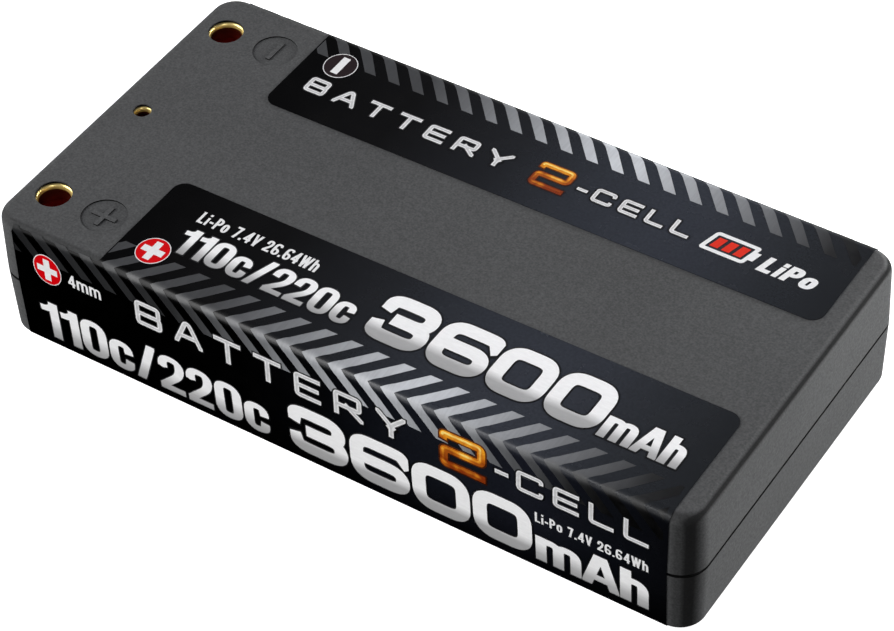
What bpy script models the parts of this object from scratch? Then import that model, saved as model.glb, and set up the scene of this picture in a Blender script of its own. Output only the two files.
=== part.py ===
"""Low-profile two-cell lithium polymer pack in a moulded hard case.

Frame: metres, +Z up.  The origin is at the centre of the underside.  X runs along
the pack, with the sockets at the -X end, and the positive socket is on the -Y side.
"""
import bisect
import math

import bmesh
import bpy
from mathutils import Vector

MM = 0.001

# Whole pack
LENGTH = 92.0 * MM
WIDTH = 47.0 * MM
HEIGHT = 17.6 * MM
SEAM_HEIGHT = HEIGHT / 2
CLEARANCE = 0.3 * MM

# Moulded case
WALL = 1.5 * MM
DRAFT_INSET = 0.2 * MM
CORNER_RADIUS = 3.4 * MM
LEAST_CORNER = 0.5 * MM
TOP_FILLET = 1.2 * MM
BOTTOM_FILLET = 0.5 * MM
CORNER_STEPS = 6
FILLET_STEPS = 3
SMOOTH_LIMIT = math.radians(35)
TONGUE_THICKNESS = 0.4 * MM
TONGUE_HEIGHT = 1.35 * MM

# Sockets, all on one line across the pack
SOCKET_X = -LENGTH / 2 + 4.6 * MM
SOCKET_SPREAD = 16.8 * MM
SOCKET_BORE = 4.0 * MM
SOCKET_OUTER = 5.0 * MM
SOCKET_MOUTH = 4.3 * MM
SOCKET_HOLE = 4.2 * MM
SOCKET_COLLAR = 6.0 * MM
SOCKET_FOOT_Z = 4.0 * MM
BALANCE_BORE = 2.0 * MM
BALANCE_OUTER = 2.8 * MM
BALANCE_MOUTH = 2.15 * MM
BALANCE_HOLE = 2.1 * MM
BALANCE_COLLAR = 3.8 * MM
BALANCE_FOOT_Z = 8.6 * MM
SOCKET_LIP = 0.35 * MM
SOCKET_FLOOR = 1.0 * MM
FOOT_EDGE = 0.2 * MM
COLLAR_THICKNESS = 0.8 * MM
ROUND_STEPS = 24

# Polarity marks sunk into the case beside the sockets
MARK_X = -LENGTH / 2 + 11.8 * MM
MARK_RADIUS = 2.7 * MM
MARK_DEPTH = 0.2 * MM
MARK_ARM = 3.3 * MM
MARK_STROKE = 0.6 * MM

# Printed film wrapped under the pack, its two ends on the top face
LABEL_THICKNESS = 0.2 * MM
LABEL_RECESS = 0.35 * MM
LABEL_SIDE_X = -42.6 * MM
LABEL_STRIP_X = -30.2 * MM
LABEL_END_X = 42.8 * MM
LABEL_NEAR_Y = -7.5 * MM
LABEL_FAR_Y = 8.6 * MM
LABEL_CORNER = 1.8 * MM
LABEL_SHOULDER = 1.0 * MM

# Cells, stacked flat
CELL_X0 = -34.1 * MM
CELL_X1 = 42.1 * MM
CELL_HALF_WIDTH = 20.9 * MM
CELL_BASES = {"lower": 2.6 * MM, "upper": 9.1 * MM}
FILM = 0.2 * MM
SEAL_Z = 5.0 * MM
SEAL_END = 3.2 * MM
SEAL_SIDE = 0.5 * MM
POUCH_ROUND = 0.8 * MM
POUCH_CORNER = 2.0 * MM
POUCH_CORNER_STEPS = 4
NOTCH_DEPTH = 0.5 * MM
TAB_WIDTH = 7.0 * MM
TAB_THICKNESS = 0.2 * MM
TAB_OFFSET = 10.0 * MM
TAB_SINK = 0.1 * MM
TAB_END_X = -39.6 * MM
SEALANT_HEIGHT = 0.7 * MM
SEALANT_MARGIN = 0.6 * MM
SEALANT_GAP = 0.1 * MM
SEALANT_SETBACK = 0.4 * MM

# Terminal board and its copper
BOARD_X0 = -44.1 * MM
BOARD_X1 = -35.6 * MM
BOARD_HALF_WIDTH = 21.4 * MM
BOARD_CORNER = 2.2 * MM
BOARD_Z = 11.2 * MM
BOARD_THICKNESS = 1.0 * MM
COPPER = 0.5 * MM
SOLDER_HEIGHT = 0.7 * MM
SOLDER_TOE = 0.1 * MM
LINK_X = -37.8 * MM
BALANCE_STRIP = 1.6 * MM
BALANCE_STRIP_THICKNESS = 0.3 * MM
BUSBAR_SETBACK = 1.0 * MM
BUSBAR_UPRIGHT_INSET = 0.6 * MM
NEGATIVE_BAR_X = (-43.2 * MM, -39.2 * MM)
NEGATIVE_BAR_Z = 5.9 * MM
NEGATIVE_BAR_THICKNESS = 0.8 * MM
PAPER = 0.2 * MM
PAPER_MARGIN = 0.8 * MM
BAY_PAPER_X = -34.9 * MM
BAY_PAPER_HALF_WIDTH = 20.0 * MM

# Packing
PACKING_MARGIN = 1.0 * MM
PAD_EDGE = 0.1 * MM
END_BLOCK_HALF_WIDTH = 18.0 * MM
END_BLOCK_Z = (2.6 * MM, 15.0 * MM)
END_BLOCK_EDGE = 0.3 * MM


# ------------------------------------------------------------------ materials

def make_material(name, colour, roughness, metallic=0.0):
    material = bpy.data.materials.new(name)
    material.use_nodes = True
    shader = material.node_tree.nodes["Principled BSDF"]
    shader.inputs["Base Color"].default_value = (*colour, 1.0)
    shader.inputs["Roughness"].default_value = roughness
    shader.inputs["Metallic"].default_value = metallic
    material.diffuse_color = (*colour, 1.0)
    return material


# ------------------------------------------------------------------ mesh tools

def add_object(name, bm, material, smooth=False):
    bmesh.ops.recalc_face_normals(bm, faces=bm.faces)
    if bm.calc_volume(signed=True) < 0:
        bmesh.ops.reverse_faces(bm, faces=bm.faces)
    mesh = bpy.data.meshes.new(name)
    bm.to_mesh(mesh)
    bm.free()
    if smooth:
        mesh.shade_smooth()
        mesh.set_sharp_from_angle(angle=SMOOTH_LIMIT)
    mesh.materials.append(material)
    part = bpy.data.objects.new(name, mesh)
    bpy.context.scene.collection.objects.link(part)
    return part


def rounded_loop(x0, x1, y0, y1, radius, z, steps=CORNER_STEPS):
    """Points of a rounded rectangle at height z, anticlockwise from above."""
    corners = [(x1, y0, -90), (x1, y1, 0), (x0, y1, 90), (x0, y0, 180)]
    points = []
    for corner_x, corner_y, start in corners:
        centre_x = corner_x - math.copysign(radius, corner_x - (x0 + x1) / 2)
        centre_y = corner_y - math.copysign(radius, corner_y - (y0 + y1) / 2)
        for step in range(steps + 1):
            angle = math.radians(start + 90 * step / steps)
            points.append(Vector((centre_x + radius * math.cos(angle),
                                  centre_y + radius * math.sin(angle), z)))
    return points


def round_loop(x, y, radius, z, steps=ROUND_STEPS):
    angles = [2 * math.pi * step / steps for step in range(steps)]
    return [Vector((x + radius * math.cos(a), y + radius * math.sin(a), z)) for a in angles]


def stacked_solid(name, loops, material, smooth=False, closed_ring=False):
    """Joins loops of equal length one to the next, and caps the two ends."""
    bm = bmesh.new()
    rings = [[bm.verts.new(point) for point in loop] for loop in loops]
    pairs = list(zip(rings, rings[1:]))
    if closed_ring:
        pairs.append((rings[-1], rings[0]))
    else:
        bm.faces.new(rings[0])
        bm.faces.new(rings[-1])
    for lower, upper in pairs:
        for index in range(len(lower)):
            after = (index + 1) % len(lower)
            bm.faces.new((lower[index], lower[after], upper[after], upper[index]))
    return add_object(name, bm, material, smooth)


def box(name, x_range, y_range, z_range, material, bevel=0.0):
    bm = bmesh.new()
    bmesh.ops.create_cube(bm, size=1.0)
    for vert in bm.verts:
        for axis, (low, high) in enumerate((x_range, y_range, z_range)):
            vert.co[axis] = low + (vert.co[axis] + 0.5) * (high - low)
    part = add_object(name, bm, material)
    if bevel:
        modifier = part.modifiers.new("edges", "BEVEL")
        modifier.width = bevel
        modifier.segments = 2
    return part


def extruded_profile(name, outline, axis, low, high, material):
    """Extrudes a flat outline along one axis; the outline holds the other two."""
    bm = bmesh.new()
    others = [index for index in range(3) if index != axis]
    verts = []
    for pair in outline:
        point = Vector((0.0, 0.0, 0.0))
        point[others[0]], point[others[1]] = pair
        point[axis] = low
        verts.append(bm.verts.new(point))
    face = bm.faces.new(verts)
    raised = bmesh.ops.extrude_face_region(bm, geom=[face])["geom"]
    shift = Vector((0.0, 0.0, 0.0))
    shift[axis] = high - low
    for item in raised:
        if isinstance(item, bmesh.types.BMVert):
            item.co += shift
    return add_object(name, bm, material)


def cut(part, cutter, operation="DIFFERENCE"):
    cutter.hide_render = True
    cutter.display_type = "WIRE"
    modifier = part.modifiers.new(cutter.name, "BOOLEAN")
    modifier.operation = operation
    modifier.object = cutter
    modifier.solver = "EXACT"


# ------------------------------------------------------------------ case

def case_loop(inset, z):
    radius = max(CORNER_RADIUS - inset, LEAST_CORNER)
    half_x = LENGTH / 2 - inset
    half_y = WIDTH / 2 - inset
    return rounded_loop(-half_x, half_x, -half_y, half_y, radius, z)


def fillet_loops(radius, z_flat, z_wall):
    """Loops round a filleted edge, from the flat face to the wall."""
    loops = []
    for step in range(FILLET_STEPS + 1):
        angle = math.radians(90 * step / FILLET_STEPS)
        inset = DRAFT_INSET + radius * (1 - math.sin(angle))
        z = z_wall + (z_flat - z_wall) * math.cos(angle)
        loops.append(case_loop(inset, z))
    return loops


def build_upper_case(material):
    seam = SEAM_HEIGHT + CLEARANCE / 2
    rebate = WALL - TONGUE_THICKNESS - CLEARANCE
    shoulder = SEAM_HEIGHT + TONGUE_HEIGHT + CLEARANCE
    loops = fillet_loops(TOP_FILLET, HEIGHT, HEIGHT - TOP_FILLET)
    loops += [case_loop(0.0, seam), case_loop(rebate, seam), case_loop(rebate, shoulder)]
    loops += [case_loop(WALL, shoulder), case_loop(WALL, HEIGHT - WALL)]
    return stacked_solid("upper_case", loops, material)


def build_lower_case(material):
    seam = SEAM_HEIGHT - CLEARANCE / 2
    tongue = WALL - TONGUE_THICKNESS
    tip = SEAM_HEIGHT + TONGUE_HEIGHT
    loops = fillet_loops(BOTTOM_FILLET, 0.0, BOTTOM_FILLET)
    loops += [case_loop(0.0, seam), case_loop(tongue, seam), case_loop(tongue, tip)]
    loops += [case_loop(WALL, tip), case_loop(WALL, WALL)]
    return stacked_solid("lower_case", loops, material)


def cut_socket_hole(case, name, y, hole, outer):
    """A through hole with a wider pocket under a thin lip."""
    lip_z = HEIGHT - SOCKET_LIP
    pocket_radius = outer / 2 + CLEARANCE
    bottom_z = HEIGHT - WALL - CLEARANCE
    loops = [round_loop(SOCKET_X, y, pocket_radius, bottom_z),
             round_loop(SOCKET_X, y, pocket_radius, lip_z),
             round_loop(SOCKET_X, y, hole / 2, lip_z),
             round_loop(SOCKET_X, y, hole / 2, HEIGHT + CLEARANCE)]
    cut(case, stacked_solid(name + "_hole_cutter", loops, case.data.materials[0]))


def cut_mark(case, name, y, arms):
    """A sunken disc that leaves the arms of a plus or a minus standing."""
    floor = HEIGHT - MARK_DEPTH
    above = HEIGHT + CLEARANCE
    material = case.data.materials[0]
    disc = stacked_solid(name + "_mark_cutter",
                         [round_loop(MARK_X, y, MARK_RADIUS, floor),
                          round_loop(MARK_X, y, MARK_RADIUS, above)], material)
    for index, (length_x, length_y) in enumerate(arms):
        arm = box(f"{name}_mark_arm_{index}",
                  (MARK_X - length_x / 2, MARK_X + length_x / 2),
                  (y - length_y / 2, y + length_y / 2),
                  (floor - CLEARANCE, above + CLEARANCE), material)
        cut(disc, arm)
    cut(case, disc)


# ------------------------------------------------------------------ label

def half_girth():
    """(y, z) from the middle of the underside, up the +Y side, to mid top."""
    half = WIDTH / 2 - DRAFT_INSET
    points = [(0.0, 0.0)]
    for step in range(FILLET_STEPS + 1):
        angle = math.radians(90 * step / FILLET_STEPS)
        points.append((half - BOTTOM_FILLET + BOTTOM_FILLET * math.sin(angle),
                       BOTTOM_FILLET - BOTTOM_FILLET * math.cos(angle)))
    points.append((WIDTH / 2, SEAM_HEIGHT))
    for step in range(FILLET_STEPS + 1):
        angle = math.radians(90 * step / FILLET_STEPS)
        points.append((half - TOP_FILLET + TOP_FILLET * math.cos(angle),
                       HEIGHT - TOP_FILLET + TOP_FILLET * math.sin(angle)))
    points.append((0.0, HEIGHT))
    return [Vector(point) for point in points]


def girth_stations():
    """Distance round the pack, place and outward normal at each fold line."""
    half = half_girth()
    path = [Vector((-point.x, point.y)) for point in reversed(half[1:])] + half
    lengths = [0.0]
    for before, after in zip(path, path[1:]):
        lengths.append(lengths[-1] + (after - before).length)
    middle = lengths[-1] / 2
    normals = []
    for index in range(len(path)):
        before = path[max(index - 1, 0)]
        after = path[min(index + 1, len(path) - 1)]
        along = (after - before).normalized()
        normals.append(Vector((along.y, -along.x)))
    normals[0] = normals[-1] = Vector((0.0, 1.0))
    return [(length - middle, place, normal)
            for length, place, normal in zip(lengths, path, normals)]


def girth_at(y):
    """Distance round the pack of a line at y on the top face."""
    top_half_length = girth_stations()[-1][0]
    return math.copysign(top_half_length - abs(y), y)


def rounded_outline(corners, steps=4):
    """A polygon given as (x, y, corner radius), with its corners as arcs."""
    points = []
    for index, (x, y, radius) in enumerate(corners):
        corner = Vector((x, y))
        before = Vector(corners[index - 1][:2]) - corner
        after = Vector(corners[(index + 1) % len(corners)][:2]) - corner
        before.normalize()
        after.normalize()
        centre = corner + (before + after) * radius
        start = -after * radius
        turn = -before * radius
        for step in range(steps + 1):
            angle = math.radians(90 * step / steps)
            points.append(centre + start * math.cos(angle) + turn * math.sin(angle))
    return points


def label_outline(margin):
    """The film laid flat as (x, distance round the pack), grown by a margin."""
    shoulder = girth_stations()[-1][0] - WIDTH / 2 + DRAFT_INSET + TOP_FILLET
    shoulder -= TOP_FILLET * math.pi / 2
    near = girth_at(LABEL_NEAR_Y) - margin
    far = girth_at(LABEL_FAR_Y) + margin
    side_x = LABEL_SIDE_X - margin
    strip_x = LABEL_STRIP_X - margin
    end_x = LABEL_END_X + margin
    shoulder += margin
    corner = LABEL_CORNER + margin
    return rounded_outline([
        (strip_x, near, corner), (end_x, near, corner),
        (end_x, far, corner), (strip_x, far, corner),
        (strip_x, shoulder, LABEL_SHOULDER), (side_x, shoulder, LABEL_SHOULDER),
        (side_x, -shoulder, LABEL_SHOULDER), (strip_x, -shoulder, LABEL_SHOULDER)])


def wrapped_film(name, outline, depth, height, material):
    """Folds a flat outline round the pack, from depth to height off its surface."""
    stations = girth_stations()
    distances = [station[0] for station in stations]
    bm = bmesh.new()
    face = bm.faces.new([bm.verts.new((point.x, point.y, depth)) for point in outline])
    raised = bmesh.ops.extrude_face_region(bm, geom=[face])["geom"]
    for item in raised:
        if isinstance(item, bmesh.types.BMVert):
            item.co.z = height
    for distance in distances[1:-1]:
        geometry = bm.verts[:] + bm.edges[:] + bm.faces[:]
        bmesh.ops.bisect_plane(bm, geom=geometry, plane_co=(0.0, distance, 0.0),
                               plane_no=(0.0, 1.0, 0.0), dist=0.001 * MM)
    for vert in bm.verts:
        x, distance, lift = vert.co
        index = bisect.bisect_right(distances, distance) - 1
        index = min(max(index, 0), len(stations) - 2)
        start, start_place, start_normal = stations[index]
        end, end_place, end_normal = stations[index + 1]
        share = (distance - start) / (end - start)
        inner = start_place + start_normal * lift
        outer = end_place + end_normal * lift
        place = inner.lerp(outer, share)
        vert.co = (x, place.x, place.y)
    return add_object(name, bm, material)


# ------------------------------------------------------------------ sockets

def build_socket(name, y, bore, outer, mouth, collar, foot_z, material):
    """A turned contact: closed foot, soldering collar and flared mouth."""
    collar_z = BOARD_Z + BOARD_THICKNESS + CLEARANCE
    collar_top = collar_z + COLLAR_THICKNESS
    top = HEIGHT - SOCKET_LIP - CLEARANCE / 2
    flare = (mouth - bore) / 2
    profile = [(outer / 2 - FOOT_EDGE, foot_z), (outer / 2, foot_z + FOOT_EDGE),
               (outer / 2, collar_z), (collar / 2, collar_z),
               (collar / 2, collar_top), (outer / 2, collar_top),
               (outer / 2, top), (mouth / 2, top), (bore / 2, top - 2 * flare),
               (bore / 2, foot_z + SOCKET_FLOOR)]
    loops = [round_loop(SOCKET_X, y, radius, z) for radius, z in profile]
    return stacked_solid(name, loops, material, smooth=True)


def build_solder_ring(name, y, outer, collar, material):
    top = BOARD_Z - CLEARANCE
    bottom = top - SOLDER_HEIGHT
    inner = outer / 2 + CLEARANCE / 2
    profile = [(inner, top), (collar / 2, top), (inner + SOLDER_TOE, bottom), (inner, bottom)]
    loops = [round_loop(SOCKET_X, y, radius, z) for radius, z in profile]
    return stacked_solid(name, loops, material, smooth=True, closed_ring=True)


# ------------------------------------------------------------------ cells

def cell_loop(grow, grow_end, base, z, radius):
    return rounded_loop(CELL_X0 - grow_end, CELL_X1 + grow, -CELL_HALF_WIDTH - grow,
                        CELL_HALF_WIDTH + grow, radius, base + z, POUCH_CORNER_STEPS)


def build_pouch_cup(side, base, material):
    """The drawn half of the film pouch, with a wide seal at the tab end."""
    sunk = -POUCH_ROUND
    inner_sunk = -POUCH_ROUND - FILM
    seal_top = SEAL_Z + FILM
    loops = [cell_loop(sunk, sunk, base, 0.0, POUCH_CORNER - POUCH_ROUND),
             cell_loop(0.0, 0.0, base, POUCH_ROUND, POUCH_CORNER),
             cell_loop(0.0, 0.0, base, SEAL_Z, POUCH_CORNER),
             cell_loop(SEAL_SIDE, SEAL_END, base, SEAL_Z, POUCH_CORNER),
             cell_loop(SEAL_SIDE, SEAL_END, base, seal_top, POUCH_CORNER),
             cell_loop(-FILM, -FILM, base, seal_top, POUCH_CORNER - FILM),
             cell_loop(-FILM, -FILM, base, POUCH_ROUND + FILM, POUCH_CORNER - FILM),
             cell_loop(inner_sunk, inner_sunk, base, FILM, POUCH_CORNER - POUCH_ROUND)]
    cup = stacked_solid(side + "_pouch_cup", loops, material)
    half = TAB_WIDTH / 2 + SEALANT_MARGIN + CLEARANCE
    for sign in (-1, 1):
        notch = box(f"{side}_tab_notch_{sign + 1}",
                    (CELL_X0 - SEAL_END - CLEARANCE, CELL_X0 + CLEARANCE),
                    (sign * TAB_OFFSET - half, sign * TAB_OFFSET + half),
                    (base + SEAL_Z - NOTCH_DEPTH, base + seal_top + CLEARANCE), material)
        cut(cup, notch)


def build_cell(side, base, positive_sign, materials):
    build_pouch_cup(side, base, materials["film"])
    cover_z = SEAL_Z + FILM + CLEARANCE
    stacked_solid(side + "_pouch_cover",
                  [cell_loop(SEAL_SIDE, SEAL_END, base, cover_z, POUCH_CORNER),
                   cell_loop(SEAL_SIDE, SEAL_END, base, cover_z + FILM, POUCH_CORNER)],
                  materials["film"])
    room = FILM + CLEARANCE
    tab_z = tab_height(side)
    sunk = -POUCH_ROUND - room
    corner = POUCH_CORNER - room
    stacked_solid(side + "_electrode_stack",
                  [cell_loop(sunk, sunk, base, room, corner - POUCH_ROUND),
                   cell_loop(-room, -room, base, POUCH_ROUND + room, corner),
                   cell_loop(-room, -room, base, tab_z - base, corner)],
                  materials["electrode"])
    for pole, sign in (("positive", positive_sign), ("negative", -positive_sign)):
        y = sign * TAB_OFFSET
        box(f"{side}_{pole}_tab", (TAB_END_X, CELL_X0 + room - CLEARANCE),
            (y - TAB_WIDTH / 2, y + TAB_WIDTH / 2), (tab_z, tab_z + TAB_THICKNESS),
            materials[pole + "_tab"])
        build_sealant(f"{side}_{pole}_tab_sealant", y, tab_z, materials["sealant"])


def build_sealant(name, y, tab_z, material):
    """The resin sleeve that the pouch seal closes on, round one tab."""
    middle = tab_z + TAB_THICKNESS / 2
    hole_y = TAB_WIDTH / 2 + SEALANT_GAP
    hole_z = TAB_THICKNESS / 2 + SEALANT_GAP
    body_y = TAB_WIDTH / 2 + SEALANT_MARGIN
    body_z = SEALANT_HEIGHT / 2
    ends = (CELL_X0 - SEAL_END + SEALANT_SETBACK, CELL_X0 - SEALANT_SETBACK)
    loops = []
    for half_y, half_z, x in ((body_y, body_z, ends[0]), (body_y, body_z, ends[1]),
                              (hole_y, hole_z, ends[1]), (hole_y, hole_z, ends[0])):
        loops.append([Vector((x, y + sy * half_y, middle + sz * half_z))
                      for sy, sz in ((-1, -1), (1, -1), (1, 1), (-1, 1))])
    stacked_solid(name, loops, material, closed_ring=True)


# ------------------------------------------------------------------ terminal bay

def build_board(material):
    """Slotted round the main sockets, bored for the balance contact."""
    edges = (BOARD_X0, BOARD_X1, -BOARD_HALF_WIDTH, BOARD_HALF_WIDTH, BOARD_CORNER)
    board = stacked_solid("terminal_board",
                          [rounded_loop(*edges, BOARD_Z),
                           rounded_loop(*edges, BOARD_Z + BOARD_THICKNESS)], material)
    low = BOARD_Z - CLEARANCE
    high = BOARD_Z + BOARD_THICKNESS + CLEARANCE
    radius = SOCKET_OUTER / 2 + CLEARANCE
    for sign in (-1, 1):
        y = sign * SOCKET_SPREAD
        outline = [(BOARD_X0 - CLEARANCE, y - radius)]
        for step in range(9):
            angle = math.radians(-90 + 22.5 * step)
            outline.append((SOCKET_X + radius * math.cos(angle), y + radius * math.sin(angle)))
        outline.append((BOARD_X0 - CLEARANCE, y + radius))
        cut(board, extruded_profile(f"socket_slot_{sign + 1}", outline, 2, low, high, material))
    bore_radius = BALANCE_OUTER / 2 + CLEARANCE
    cut(board, stacked_solid("balance_bore", [round_loop(SOCKET_X, 0.0, bore_radius, low),
                                              round_loop(SOCKET_X, 0.0, bore_radius, high)],
                             material))
    link_x0, link_x1 = link_web()
    half = TAB_WIDTH / 2 + CLEARANCE
    cut(board, box("link_slot", (link_x0 - CLEARANCE, link_x1 + CLEARANCE),
                   (TAB_OFFSET - half, TAB_OFFSET + half), (low, high), material))


def tab_height(side):
    return CELL_BASES[side] + SEAL_Z - TAB_SINK


def link_web():
    """X range of the upright of the link between the cells."""
    return LINK_X - COPPER / 2, LINK_X + COPPER / 2


def build_midpoint_link(material):
    """Joins the lower cell's positive tab to the upper cell's negative one."""
    low = tab_height("lower") + TAB_THICKNESS + CLEARANCE
    high = tab_height("upper") - CLEARANCE
    x0, x1 = link_web()
    reach = TAB_END_X + CLEARANCE
    outline = [(reach, low), (x1, low), (x1, high), (reach, high),
               (reach, high - COPPER), (x0, high - COPPER),
               (x0, low + COPPER), (reach, low + COPPER)]
    half = TAB_WIDTH / 2
    extruded_profile("midpoint_link", outline, 1, TAB_OFFSET - half, TAB_OFFSET + half, material)


def build_balance_link(material):
    """Copper strip on the board from the midpoint link to the balance contact."""
    low = BOARD_Z + BOARD_THICKNESS + CLEARANCE
    start_y = BALANCE_COLLAR / 2 + CLEARANCE
    low_x = SOCKET_X - BALANCE_STRIP / 2
    high_x = SOCKET_X + BALANCE_STRIP / 2
    stop_x = link_web()[0] - CLEARANCE
    end_y = TAB_OFFSET - BALANCE_STRIP / 2
    turn_y = end_y - BALANCE_STRIP
    outline = [(low_x, start_y), (high_x, start_y), (high_x, turn_y), (stop_x, turn_y),
               (stop_x, end_y), (low_x, end_y)]
    extruded_profile("balance_link", outline, 2, low, low + BALANCE_STRIP_THICKNESS, material)


def build_positive_busbar(material):
    """An angle from the positive socket's collar up to the upper cell's tab."""
    low = BOARD_Z + BOARD_THICKNESS + CLEARANCE
    high = tab_height("upper") - CLEARANCE
    outer_x = BOARD_X0 + BUSBAR_SETBACK
    inner_x = BOARD_X1 - BUSBAR_UPRIGHT_INSET
    outline = [(outer_x, low), (inner_x, low), (inner_x, high), (inner_x - COPPER, high),
               (inner_x - COPPER, low + COPPER), (outer_x, low + COPPER)]
    near_y = -SOCKET_SPREAD + SOCKET_COLLAR / 2 + CLEARANCE
    far_y = -TAB_OFFSET + TAB_WIDTH / 2
    extruded_profile("positive_busbar", outline, 1, near_y, far_y, material)


def build_negative_busbar(material, paper):
    """A bar along the bay from the lower cell's negative tab to the far socket."""
    low = NEGATIVE_BAR_Z
    high = low + NEGATIVE_BAR_THICKNESS
    pad_top = tab_height("lower") - CLEARANCE
    start = -TAB_OFFSET - TAB_WIDTH / 2
    pad_end = -TAB_OFFSET + TAB_WIDTH / 2
    stop = SOCKET_SPREAD - SOCKET_OUTER / 2 - CLEARANCE
    outline = [(start, low), (stop, low), (stop, high), (pad_end, high),
               (pad_end, pad_top), (start, pad_top)]
    extruded_profile("negative_busbar", outline, 0, *NEGATIVE_BAR_X, material)
    paper_low = high + CLEARANCE
    box("busbar_insulator",
        (NEGATIVE_BAR_X[0] - PAPER_MARGIN, NEGATIVE_BAR_X[1] + PAPER_MARGIN),
        (pad_end + CLEARANCE, stop), (paper_low, paper_low + PAPER), paper)


def build_packing(materials):
    """Foam, tape and paper that hold the cells still inside the case."""
    half = CELL_HALF_WIDTH - PACKING_MARGIN
    length = (CELL_X0 + PACKING_MARGIN, CELL_X1 - PACKING_MARGIN)
    lower_top = CELL_BASES["lower"] + SEAL_Z + 2 * FILM + CLEARANCE
    upper_top = CELL_BASES["upper"] + SEAL_Z + 2 * FILM + CLEARANCE
    box("bottom_foam_pad", length, (-half, half),
        (WALL + CLEARANCE, CELL_BASES["lower"] - CLEARANCE), materials["foam"], bevel=PAD_EDGE)
    box("cell_spacer_tape", length, (-half, half),
        (lower_top + CLEARANCE, CELL_BASES["upper"] - CLEARANCE), materials["tape"])
    box("top_foam_pad", length, (-half, half),
        (upper_top + CLEARANCE, HEIGHT - WALL - CLEARANCE), materials["foam"], bevel=PAD_EDGE)
    box("end_foam_block",
        (CELL_X1 + SEAL_SIDE + CLEARANCE, LENGTH / 2 - WALL - CLEARANCE),
        (-END_BLOCK_HALF_WIDTH, END_BLOCK_HALF_WIDTH), END_BLOCK_Z, materials["foam"],
        bevel=END_BLOCK_EDGE)
    box("terminal_insulator", (BAY_PAPER_X, BAY_PAPER_X + PAPER),
        (-BAY_PAPER_HALF_WIDTH, BAY_PAPER_HALF_WIDTH),
        (lower_top + CLEARANCE, tab_height("upper") - CLEARANCE), materials["paper"])


# ------------------------------------------------------------------ assembly

def remove_everything():
    for old in list(bpy.data.objects):
        bpy.data.objects.remove(old, do_unlink=True)


def make_materials():
    return {
        "case": make_material("charcoal_plastic", (0.085, 0.088, 0.092), 0.55),
        "label": make_material("printed_film", (0.012, 0.012, 0.015), 0.25),
        "gold": make_material("gold_plating", (0.83, 0.60, 0.22), 0.22, 1.0),
        "solder": make_material("tin_solder", (0.62, 0.62, 0.60), 0.35, 1.0),
        "board": make_material("glass_board", (0.02, 0.12, 0.05), 0.4),
        "copper": make_material("copper_strip", (0.78, 0.36, 0.20), 0.3, 1.0),
        "film": make_material("pouch_film", (0.70, 0.71, 0.72), 0.35, 0.9),
        "electrode": make_material("electrode_foils", (0.06, 0.06, 0.065), 0.8),
        "positive_tab": make_material("aluminium_tab", (0.80, 0.80, 0.81), 0.3, 1.0),
        "negative_tab": make_material("nickel_tab", (0.66, 0.63, 0.58), 0.3, 1.0),
        "sealant": make_material("tab_resin", (0.75, 0.72, 0.60), 0.5),
        "foam": make_material("dark_foam", (0.05, 0.05, 0.055), 0.95),
        "tape": make_material("polyimide_tape", (0.62, 0.33, 0.06), 0.3),
        "paper": make_material("barley_paper", (0.42, 0.52, 0.40), 0.8),
    }


remove_everything()
MATERIALS = make_materials()

upper_case = build_upper_case(MATERIALS["case"])
lower_case = build_lower_case(MATERIALS["case"])
for pole, sign in (("positive", -1), ("negative", 1)):
    cut_socket_hole(upper_case, pole, sign * SOCKET_SPREAD, SOCKET_HOLE, SOCKET_OUTER)
cut_socket_hole(upper_case, "balance", 0.0, BALANCE_HOLE, BALANCE_OUTER)
cut_mark(upper_case, "positive", -SOCKET_SPREAD, [(MARK_ARM, MARK_STROKE), (MARK_STROKE, MARK_ARM)])
cut_mark(upper_case, "negative", SOCKET_SPREAD, [(MARK_STROKE, MARK_ARM)])
recess = wrapped_film("label_recess_cutter", label_outline(CLEARANCE), -LABEL_RECESS,
                      2 * CLEARANCE, MATERIALS["label"])
cut(upper_case, recess)
cut(lower_case, recess)
wrapped_film("wrap_label", label_outline(0.0), -LABEL_THICKNESS, 0.0, MATERIALS["label"])

for pole, sign in (("positive", -1), ("negative", 1)):
    build_socket(pole + "_socket", sign * SOCKET_SPREAD, SOCKET_BORE, SOCKET_OUTER,
                 SOCKET_MOUTH, SOCKET_COLLAR, SOCKET_FOOT_Z, MATERIALS["gold"])
    build_solder_ring(pole + "_solder_ring", sign * SOCKET_SPREAD, SOCKET_OUTER,
                      SOCKET_COLLAR, MATERIALS["solder"])
build_socket("balance_socket", 0.0, BALANCE_BORE, BALANCE_OUTER, BALANCE_MOUTH,
             BALANCE_COLLAR, BALANCE_FOOT_Z, MATERIALS["gold"])
build_solder_ring("balance_solder_ring", 0.0, BALANCE_OUTER, BALANCE_COLLAR, MATERIALS["solder"])

build_board(MATERIALS["board"])
build_positive_busbar(MATERIALS["copper"])
build_negative_busbar(MATERIALS["copper"], MATERIALS["paper"])
build_midpoint_link(MATERIALS["copper"])
build_balance_link(MATERIALS["copper"])
build_cell("lower", CELL_BASES["lower"], 1, MATERIALS)
build_cell("upper", CELL_BASES["upper"], -1, MATERIALS)
build_packing(MATERIALS)
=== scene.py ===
import bisect
import math

import bmesh
import bpy
from mathutils import Matrix, Vector
from mathutils.geometry import delaunay_2d_cdt


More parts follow.
